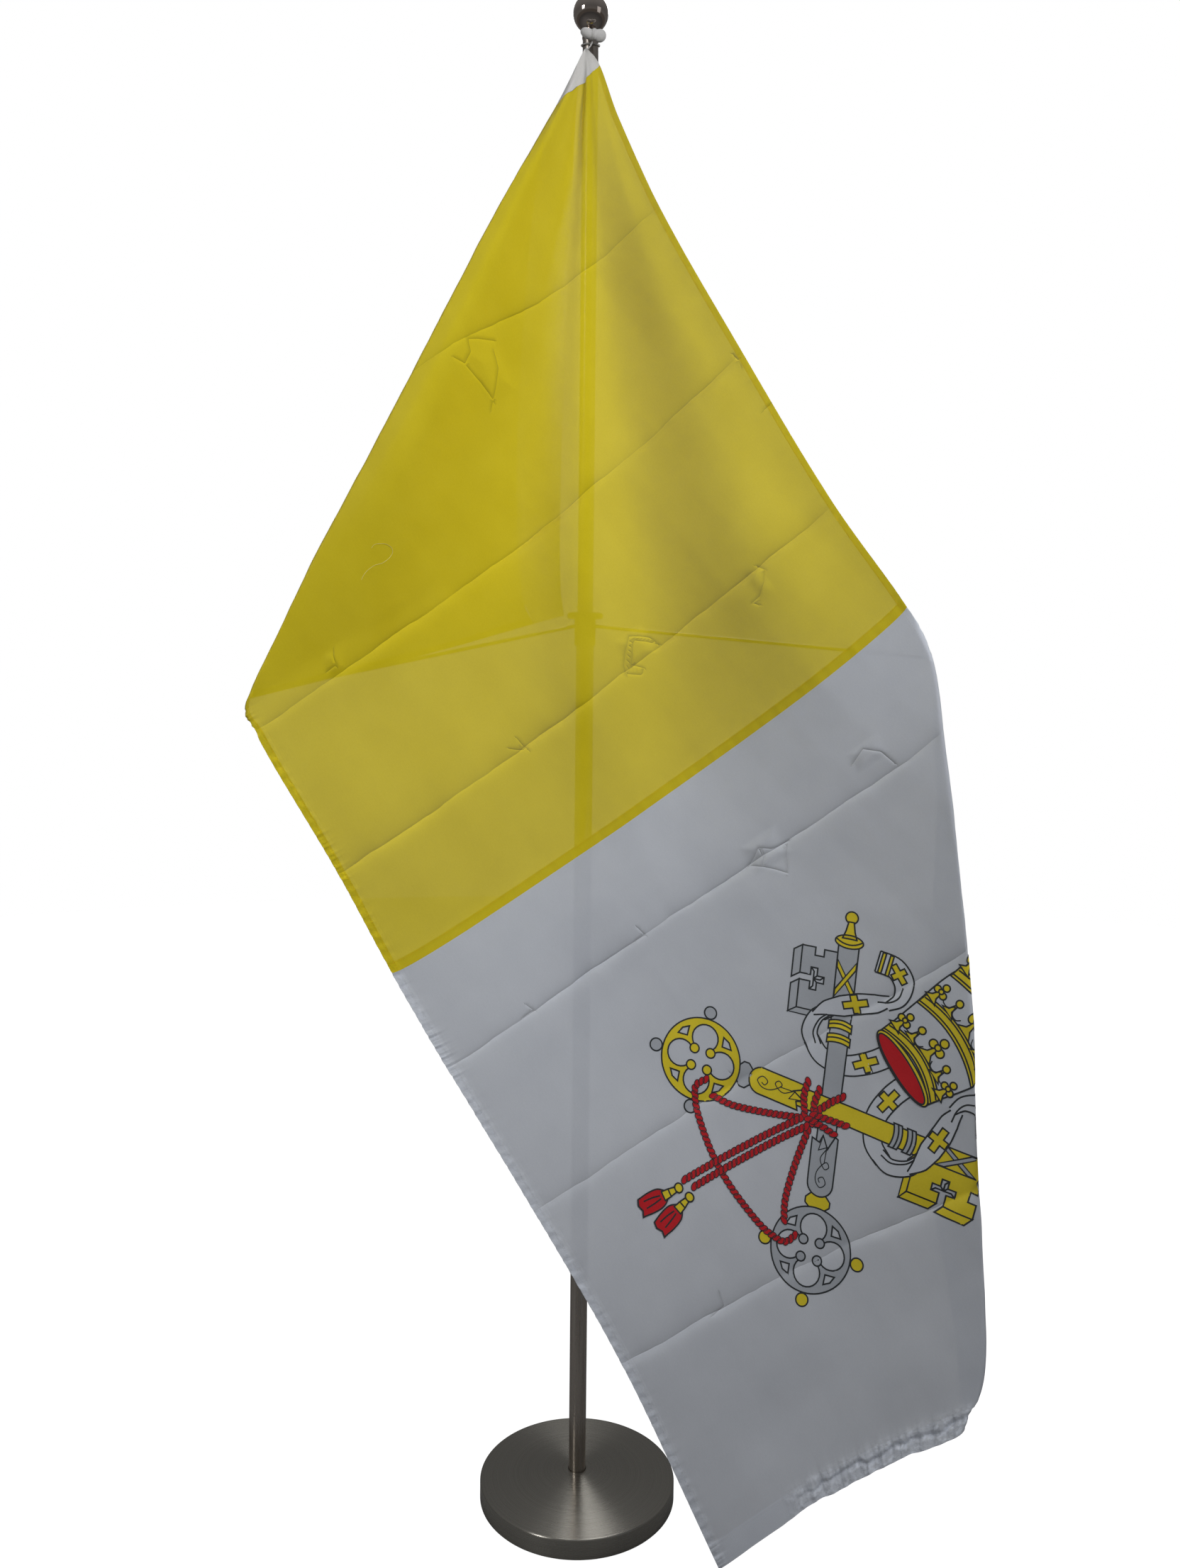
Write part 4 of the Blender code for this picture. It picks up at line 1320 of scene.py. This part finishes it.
def onWeft(weft, flat):
    # (u, v) to places between the stations and columns of the weft
    row = np.clip(np.searchsorted(weft.stations, flat[:, 0]) - 1, 0, len(weft.stations) - 2)
    t = (flat[:, 0] - weft.stations[row]) / (weft.stations[row + 1] - weft.stations[row])
    places = np.zeros(len(flat))
    columns = np.arange(weft.v.shape[1])
    for i in range(len(flat)):
        heights = (1 - t[i]) * weft.v[row[i]] + t[i] * weft.v[row[i] + 1]
        places[i] = np.interp(flat[i, 1], heights, columns)
    return row + t, places


def wound(shape, facing):
    # the corners in the order that makes the shape look to the chosen side, or none if it is too thin
    area = sum(a[0] * b[1] - b[0] * a[1] for a, b in zip(shape, [*shape[1:], shape[0]])) / 2
    if abs(area) < 1e-7:
        return None
    return shape if area * facing > 0 else shape[::-1]


def bilinear(table, i, j):
    row = np.clip(i.astype(int), 0, table.shape[0] - 2)
    column = np.clip(j.astype(int), 0, table.shape[1] - 2)
    down, along = i - row, j - column
    if table.ndim == 3:
        down, along = down[:, None], along[:, None]
    upper = (1 - along) * table[row, column] + along * table[row, column + 1]
    lower = (1 - along) * table[row + 1, column] + along * table[row + 1, column + 1]
    return (1 - down) * upper + down * lower


def printed(colour, weft, facing, material):
    # the drawn shapes of one colour as a skin that follows the cloth, on its face or its reverse
    grain = 0.02
    shapes = [[(x / grain, y / grain, z) for x, y, z in shape] for shape in drawn[colour]]
    shapes = sliced(sliced(shapes, 0), 1)
    flat = np.array([point for shape in shapes for point in shape])
    flat[:, :2] = flat[:, :2] * grain + np.array(emblem["middle"])
    i, j = onWeft(weft, flat)
    spots = list(zip(i.tolist(), j.tolist(), flat[:, 2].tolist()))
    at, placed = 0, []
    for shape in shapes:
        placed.append(spots[at:at + len(shape)])
        at += len(shape)
    placed = [wound(shape, facing) for shape in sliced(sliced(placed, 0), 1)]
    placed = [shape for shape in placed if shape]
    flat = np.array([point for shape in placed for point in shape])
    i, j = flat[:, 0], flat[:, 1]
    lift = facing * (emblem["lift"] + emblem["layer"] * flat[:, 2])
    points = bilinear(weft.points, i, j) + bilinear(weft.normals, i, j) * lift[:, None]
    cloth = np.stack((bilinear(weft.u, i, j), bilinear(weft.v, i, j)), axis=1)
    faces, at = [], 0
    for shape in placed:
        faces.append(list(range(at, at + len(shape))))
        at += len(shape)
    mesh = bpy.data.meshes.new("print")
    mesh.from_pydata(points.tolist(), [], faces)
    uv = mesh.uv_layers.new(name="cloth")
    uv.data.foreach_set("uv", cloth[np.concatenate(faces)].ravel().astype(np.float32))
    work = bmesh.new()
    work.from_mesh(mesh)
    bmesh.ops.remove_doubles(work, verts=work.verts, dist=0.000004)
    bmesh.ops.dissolve_degenerate(work, edges=work.edges, dist=0.000002)
    work.to_mesh(mesh)
    work.free()
    mesh.shade_smooth()
    mesh.materials.append(material)
    piece = bpy.data.objects.new("print", mesh)
    bpy.context.scene.collection.objects.link(piece)
    return piece


# The print shows on both faces: one piece for each, so that neither is too heavy
printSides = {1: [], -1: []}
for colour, colours in printColours.items():
    ink = clothMaterial("print" + colour.capitalize(), colours, 1.0, clothLook["pitch"], bump=0.25)
    for facing in (1, -1):
        printSides[facing].append(printed(colour, whiteWeft, facing, ink.material))
emblemPrint = joinPieces("emblemPrint", printSides[1])
emblemReverse = joinPieces("emblemReverse", printSides[-1])
for printSide in (emblemPrint, emblemReverse):
    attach(printSide, "root")
print("emblem printed,", len(emblemPrint.data.polygons), "faces on each side")

# The stand: a turned steel base, two tubes, a dark hub with two thin arms, a neck and a ball
stand = {
    "baseRadius": 0.143, "rim": 0.029, "apex": 0.040, "socket": 0.032, "lowerRadius": 0.0125,
    "upperRadius": 0.011, "wall": 0.0011, "upperFoot": 1.185, "top": 2.091, "clearance": 0.0003,
    "hubFoot": 1.252, "hubTop": 1.298, "hubRadius": 0.015, "flangeRadius": 0.0255, "flange": 0.007,
    "armRadius": 0.0025, "armRoot": 1.279, "tipRadius": 0.0035, "ballRadius": 0.0245, "neck": 0.011,
}

# Brushing: fine lines round the axis or along it, with a slow change of tone between them
brushing, given, taken = shaderGroup(
    "brushing",
    (("Vector", "Vector", None), ("Lines", "Vector", (1.0, 1.0, 1.0)), ("Depth", "Float", 0.1)),
    (("Tone", "Float"), ("Roughness", "Float"), ("Height", "Float")),
)
stretch = brushing.nodes.new("ShaderNodeVectorMath")
stretch.operation = "MULTIPLY"
brushing.links.new(given.outputs["Vector"], stretch.inputs[0])
brushing.links.new(given.outputs["Lines"], stretch.inputs[1])
fine, slow = brushing.nodes.new("ShaderNodeTexNoise"), brushing.nodes.new("ShaderNodeTexNoise")
fine.inputs["Scale"].default_value, fine.inputs["Detail"].default_value = 1.0, 4.0
slow.inputs["Scale"].default_value, slow.inputs["Detail"].default_value = 9.0, 3.0
brushing.links.new(stretch.outputs[0], fine.inputs["Vector"])
brushing.links.new(given.outputs["Vector"], slow.inputs["Vector"])
lineTone = groupMath(brushing, "MULTIPLY", fine.outputs[0], given.outputs["Depth"])
slowTone = groupMath(brushing, "MULTIPLY", slow.outputs[0], 0.10)
brushing.links.new(groupMath(brushing, "ADD", lineTone, slowTone), taken.inputs["Tone"])
roughness = groupMath(brushing, "MULTIPLY_ADD", fine.outputs[0], 0.16, 0.20)
brushing.links.new(roughness, taken.inputs["Roughness"])
brushing.links.new(fine.outputs[0], taken.inputs["Height"])


def brushedMetal(name, dark, pale, lines, bump, ringed=False, anisotropic=0.0):
    metal = Shader(name, Metallic=1.0, Anisotropic=anisotropic, Anisotropic_Rotation=0.25 if ringed else 0.0)
    place = metal.add("TexCoord").outputs["Object"]
    if ringed:
        # by distance from the axis and height, so the lines run round
        split = metal.add("SeparateXYZ", {0: place})
        flatOnly = metal.add("CombineXYZ", {0: split.outputs[0], 1: split.outputs[1]})
        away = metal.add("VectorMath", {0: flatOnly.outputs[0]}, operation="LENGTH")
        place = metal.add("CombineXYZ", {0: away.outputs["Value"], 2: split.outputs[2]}).outputs[0]
        metal.feed("Tangent", metal.add("Tangent", direction_type="RADIAL", axis="Z").outputs[0])
    brushed = metal.add("Group", node_tree=brushing)
    metal.links.new(place, brushed.inputs["Vector"])
    brushed.inputs["Lines"].default_value = lines
    brushed.inputs["Depth"].default_value = 0.8
    metal.feed("Base Color", metal.ramp(brushed.outputs["Tone"], dark, pale, 0.30, 0.72))
    metal.feed("Roughness", brushed.outputs["Roughness"])
    bumped = metal.add("Bump", {"Height": brushed.outputs["Height"], "Strength": bump, "Distance": 0.0001})
    metal.feed("Normal", bumped.outputs[0])
    return metal


def noiseOn(shader, scale, detail):
    place = shader.add("TexCoord").outputs["Object"]
    return shader.add("TexNoise", {"Vector": place, "Scale": scale, "Detail": detail})


baseSteel = brushedMetal(
    "baseSteel", (0.33, 0.315, 0.28), (0.47, 0.45, 0.41), (2600, 1, 2600), 0.06, ringed=True, anisotropic=0.88
)
tubeSteel = brushedMetal("tubeSteel", (0.43, 0.385, 0.345), (0.58, 0.53, 0.48), (500, 500, 9), 0.08)
ballChrome = Shader("ballChrome", Metallic=1.0)
smear = noiseOn(ballChrome, 90.0, 4.0)
ballChrome.feed("Base Color", ballChrome.ramp(smear.outputs[0], (0.50, 0.44, 0.40), (0.60, 0.53, 0.49)))
smeared = ballChrome.add("MapRange", {0: smear.outputs[0], 1: 0.35, 2: 0.7, 3: 0.05, 4: 0.11})
ballChrome.feed("Roughness", smeared.outputs[0])
hubBlack = Shader("hubBlack", Roughness=0.42)
grain = noiseOn(hubBlack, 900.0, 3.0)
hubBlack.feed("Base Color", hubBlack.ramp(grain.outputs[0], (0.020, 0.019, 0.018), (0.040, 0.038, 0.036)))
hubBlack.feed("Roughness", hubBlack.add("MapRange", {0: grain.outputs[0], 3: 0.36, 4: 0.55}).outputs[0])
grainBump = hubBlack.add("Bump", {"Height": grain.outputs[0], "Strength": 0.2, "Distance": 0.0002})
hubBlack.feed("Normal", grainBump.outputs[0])


def onlyThis(piece):
    bpy.ops.object.select_all(action="DESELECT")
    piece.select_set(True)
    bpy.context.view_layer.objects.active = piece


def finishPiece(piece, name, material, slot, *nodes):
    onlyThis(piece)
    bpy.ops.object.transform_apply(location=True, rotation=True, scale=True)
    piece.name = name
    piece.data.materials.clear()
    piece.data.materials.append(material)
    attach(piece, "root")
    if nodes:
        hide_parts(*nodes)
    return piece


def turnedPiece(name, outline, material, slot, node, steps):
    # an outline of (radius, height) spun round the pole's axis
    mesh = bpy.data.meshes.new(name)
    mesh.from_pydata([(r, 0, z) for r, z in outline], [(i, i + 1) for i in range(len(outline) - 1)], [])
    piece = bpy.data.objects.new(name, mesh)
    bpy.context.scene.collection.objects.link(piece)
    onlyThis(piece)
    bpy.ops.object.mode_set(mode="EDIT")
    bpy.ops.mesh.select_all(action="SELECT")
    bpy.ops.mesh.spin(steps=steps, angle=2 * math.pi, center=(0, 0, 0), axis=(0, 0, 1))
    bpy.ops.mesh.select_all(action="SELECT")
    bpy.ops.mesh.remove_doubles(threshold=0.00002)
    bpy.ops.mesh.normals_make_consistent(inside=False)
    bpy.ops.object.mode_set(mode="OBJECT")
    bpy.ops.object.shade_smooth_by_angle(angle=math.radians(32))
    return finishPiece(piece, name, material, slot, node)


hole, floorZ = stand["lowerRadius"] + stand["clearance"], stand["apex"] - stand["socket"]
radius, rim, apex = stand["baseRadius"], stand["rim"], stand["apex"]
coneTop = [
    (hole + 0.0045 + (radius - 0.0065 - hole) * t, apex + (rim + 0.0009 - apex) * t)
    for t in (0, 0.01, 0.25, 0.5, 0.75, 0.985, 0.995, 1)
]
baseOutline = [
    (0, floorZ), (hole, floorZ), (hole, apex - 0.0006), (hole + 0.0006, apex), (hole + 0.0038, apex + 0.0001),
    *coneTop,
    (radius - 0.0010, rim + 0.0002), (radius - 0.0002, rim - 0.0006), (radius, rim - 0.0014),
    (radius, rim - 0.0020), (radius, 0.0150), (radius, 0.0034), (radius, 0.0028),
    (radius - 0.0012, 0.0020), (radius - 0.0016, 0.0010), (radius - 0.0030, 0.0010), (radius - 0.0036, 0.0),
    (0, 0),
]
turnedPiece("baseTurned", baseOutline, baseSteel.material, "brushed_steel", "base", steps=160)
hubTop, hubFoot, bore = stand["hubTop"], stand["hubFoot"], stand["upperRadius"] + stand["clearance"]
outer, inner = stand["lowerRadius"], stand["lowerRadius"] - stand["wall"]
lowerOutline = [
    (inner, floorZ + 0.0004), (outer - 0.0004, floorZ + 0.0004), (outer, floorZ + 0.0008),
    (outer, 0.20), (outer, 0.62), (outer, 1.04), (outer, hubFoot - 0.0009),
    (outer - 0.0004, hubFoot - 0.0004), (inner, hubFoot - 0.0004), (inner, floorZ + 0.0004),
]
turnedPiece("lowerTube", lowerOutline, tubeSteel.material, "brushed_steel", "lower_pole", steps=48)
outer, inner = stand["upperRadius"], stand["upperRadius"] - stand["wall"]
foot, top = stand["upperFoot"], stand["top"]
upperOutline = [
    (inner, foot), (outer - 0.0003, foot), (outer, foot + 0.0004), (outer, 1.5), (outer, 1.8),
    (outer, top - 0.0006), (outer - 0.0005, top), (inner, top), (inner, foot),
]
turnedPiece("upperTube", upperOutline, tubeSteel.material, "brushed_steel", "upper_pole", steps=48)
under, collar, flange = hubTop - stand["flange"], stand["hubRadius"], stand["flangeRadius"]
hubOutline = [
    (bore, hubTop), (flange - 0.002, hubTop), (flange, hubTop - 0.002), (flange, under + 0.001),
    (flange - 0.001, under), (collar + 0.0015, under), (collar, under - 0.0015),
    (collar, hubFoot + 0.014), (collar - 0.0006, hubFoot + 0.013), (collar - 0.0006, hubFoot + 0.011),
    (collar, hubFoot + 0.010), (collar, hubFoot + 0.001), (collar - 0.001, hubFoot), (bore, hubFoot),
    (bore, hubTop),
]
turnedPiece("hubTurned", hubOutline, hubBlack.material, "dark_fitting", "spreader_hub", steps=64)
neckFoot = stand["top"] + stand["clearance"]
neckTop = neckFoot + stand["neck"]
neckOutline = [
    (0, neckTop), (0.0070, neckTop), (0.0082, neckTop - 0.0012), (0.0085, neckTop - 0.003),
    (0.0085, neckFoot + 0.0055), (0.0092, neckFoot + 0.0040), (0.0112, neckFoot + 0.0034),
    (0.0118, neckFoot + 0.0026), (0.0118, neckFoot + 0.0008), (0.0112, neckFoot), (0, neckFoot),
]
turnedPiece("finialNeck", neckOutline, tubeSteel.material, "brushed_steel", "finial_neck", steps=48)
# The ball stands on a small flat, so its arc ends a little above its lowest point
ballFoot, ballFlat, ball = neckTop + stand["clearance"], 0.0065, stand["ballRadius"]
lowest = -math.degrees(math.acos(ballFlat / ball))
centreZ = ballFoot - ball * math.sin(math.radians(lowest))
ballArc = [
    (ball * math.cos(math.radians(a)), centreZ + ball * math.sin(math.radians(a)))
    for a in np.linspace(89.9, lowest, 40)
]
ballOutline = [(0, centreZ + ball), *ballArc[1:], (0, ballFoot)]
turnedPiece("finialBall", ballOutline, ballChrome.material, "dark_chrome", "finial_ball", steps=72)
print("stand turned")


def rodBetween(name, start, end, radius, material, slot, node):
    # a straight rod with rounded ends
    run = end - start
    bpy.ops.object.select_all(action="DESELECT")
    middle = (start + end) / 2
    bpy.ops.mesh.primitive_cylinder_add(vertices=24, radius=radius, depth=run.length, location=middle)
    piece = bpy.context.object
    piece.rotation_mode = "QUATERNION"
    piece.rotation_quaternion = run.to_track_quat("Z", "Y")
    onlyThis(piece)
    edge = piece.modifiers.new("edge", "BEVEL")
    edge.width, edge.segments, edge.limit_method = radius * 0.35, 3, "ANGLE"
    bpy.ops.object.modifier_apply(modifier="edge")
    bpy.ops.object.shade_smooth_by_angle(angle=math.radians(40))
    return finishPiece(piece, name, material, slot, node)


for side, tip in (("left", (-0.419, -0.1790, 1.177)), ("right", (0.431, -0.1785, 1.230))):
    tip = Vector(tip)
    outward = Vector((tip.x, tip.y, 0)).normalized()
    root = outward * (stand["hubRadius"] + 0.0012)
    root.z = stand["armRoot"]
    run = (tip - root).normalized()
    end = tip - run * (stand["tipRadius"] + stand["clearance"])
    rodBetween(
        side + "Rod", root, end, stand["armRadius"], tubeSteel.material, "brushed_steel", side + "_arm"
    )
    bpy.ops.object.select_all(action="DESELECT")
    bpy.ops.mesh.primitive_uv_sphere_add(segments=32, ring_count=20, radius=stand["tipRadius"], location=tip)
    bead = bpy.context.object
    onlyThis(bead)
    bpy.ops.object.shade_smooth()
    finishPiece(bead, side + "Bead", hubBlack.material, "dark_fitting", side + "_arm_tip")
print("arms ready")

# Ties: a twisted white cord round the pole at each corner of the heading, and the knot
ties = {
    "loop": 0.0124, "cord": 0.0011, "upper": (2.083, 0.004), "lower": (1.307, 0.001), "twist": 0.0050,
    "lobes": (
        # middle, half sizes, turn
        ((-0.0035, -0.0225, 2.0865), (0.0112, 0.0058, 0.0070), 24.0),
        ((0.0125, -0.0222, 2.0840), (0.0090, 0.0060, 0.0086), -18.0),
        ((0.0050, -0.0240, 2.0850), (0.0050, 0.0055, 0.0078), 4.0),
    ),
}
cordWhite = Shader("cordWhite", Roughness=0.8, Sheen_Weight=0.3)
fibres = noiseOn(cordWhite, 1400.0, 4.0)
cordWhite.feed("Base Color", cordWhite.ramp(fibres.outputs[0], (0.42, 0.42, 0.43), (0.80, 0.79, 0.77)))
fibreBump = cordWhite.add("Bump", {"Height": fibres.outputs[0], "Strength": 0.6, "Distance": 0.0004})
cordWhite.feed("Normal", fibreBump.outputs[0])


def twisted(name, path, slot, closed, *nodes):
    # two strands laid round each other along a path
    path = np.array(path)
    ahead = np.gradient(path, axis=0)
    if closed:
        ahead = np.roll(path, -1, axis=0) - np.roll(path, 1, axis=0)
    ahead /= np.linalg.norm(ahead, axis=1)[:, None]
    side = np.cross(ahead, (0.1, 0.2, 1.0))
    side /= np.linalg.norm(side, axis=1)[:, None]
    up = np.cross(side, ahead)
    steps = np.linalg.norm(np.diff(path, axis=0), axis=1)
    run = np.concatenate(([0], np.cumsum(steps)))
    whole = run[-1] + (np.linalg.norm(path[0] - path[-1]) if closed else 0)
    turns = max(round(whole / ties["twist"]), 1)
    strands = bpy.data.curves.new(name, "CURVE")
    strands.dimensions, strands.bevel_depth, strands.bevel_resolution = "3D", ties["cord"] * 0.58, 3
    for start in (0, math.pi):
        turn = 2 * math.pi * turns * run / whole + start
        offset = np.cos(turn)[:, None] * side + np.sin(turn)[:, None] * up
        spline = strands.splines.new("POLY")
        spline.points.add(len(path) - 1)
        line = np.column_stack((path + ties["cord"] * 0.50 * offset, np.ones(len(path))))
        spline.points.foreach_set("co", line.ravel())
        spline.use_cyclic_u = closed
    strands.use_fill_caps = not closed
    cord = bpy.data.objects.new(name, strands)
    bpy.context.scene.collection.objects.link(cord)
    onlyThis(cord)
    bpy.ops.object.convert(target="MESH")
    cord = bpy.context.object
    cord.data.shade_smooth()
    return finishPiece(cord, name, cordWhite.material, slot, *nodes)


around = np.linspace(0, 2 * math.pi, 180, endpoint=False)
for label in ("upper", "lower"):
    high, tilt = ties[label]
    loop = ties["loop"] * np.cos(around), ties["loop"] * np.sin(around), high + tilt * np.sin(around)
    loop = np.column_stack(loop)
    twisted(label + "Cord", loop, "cord", True, label + "_tie")
drop = np.linspace(0, 1, 40)
tail = 0.003 - 0.009 * drop + 0.002 * np.sin(3 * drop), -0.0200 + 0.001 * drop, 2.080 - 0.014 * drop
tail = np.column_stack(tail)
twisted("cornerCord", tail, "cord", False)

lobes = []
for middle, halves, turn in ties["lobes"]:
    bpy.ops.object.select_all(action="DESELECT")
    bpy.ops.mesh.primitive_uv_sphere_add(segments=32, ring_count=20, radius=1.0, location=middle)
    lobe = bpy.context.object
    lobe.scale = halves
    lobe.rotation_euler = (0, math.radians(turn), 0)
    lobes.append(lobe)
knot = joinPieces("knot", lobes)
onlyThis(knot)
bpy.ops.object.transform_apply(location=True, rotation=True, scale=True)
merged = knot.modifiers.new("merged", "REMESH")
merged.mode, merged.voxel_size, merged.use_smooth_shade = "VOXEL", 0.0006, True
bpy.ops.object.modifier_apply(modifier="merged")
eased = knot.modifiers.new("eased", "SMOOTH")
eased.iterations, eased.factor = 6, 0.6
bpy.ops.object.modifier_apply(modifier="eased")
bpy.ops.object.shade_smooth()
finishPiece(knot, "knot", cordWhite.material, "cord", "tie_knot")

# A loose end of thread lying on the yellow
looseThread = Shader("looseThread", Base_Color=(0.86, 0.80, 0.32, 1), Roughness=0.6)
curl = [
    (-9, -15), (-5, -20), (3, -22), (10, -22), (17, -18), (18, -11),
    (13, -3), (5, 4), (-5, 8), (-13, 14), (-19, 21), (-23, 29),
]
curlU, curlV = np.array([seenFromFront(0.440, 0.271, *point) for point in smoothPath(curl, 8)]).T
laid = yellowWeft.place(curlU, curlV, 0.0006)
fine = bpy.data.curves.new("thread", "CURVE")
fine.dimensions, fine.bevel_depth, fine.bevel_resolution = "3D", 0.00022, 2
spline = fine.splines.new("POLY")
spline.points.add(len(laid) - 1)
spline.points.foreach_set("co", np.column_stack((laid, np.ones(len(laid)))).ravel())
thread = bpy.data.objects.new("thread", fine)
bpy.context.scene.collection.objects.link(thread)
onlyThis(thread)
bpy.ops.object.convert(target="MESH")
finishPiece(bpy.context.object, "thread", looseThread.material, "yellow_cloth")
print("ties ready")
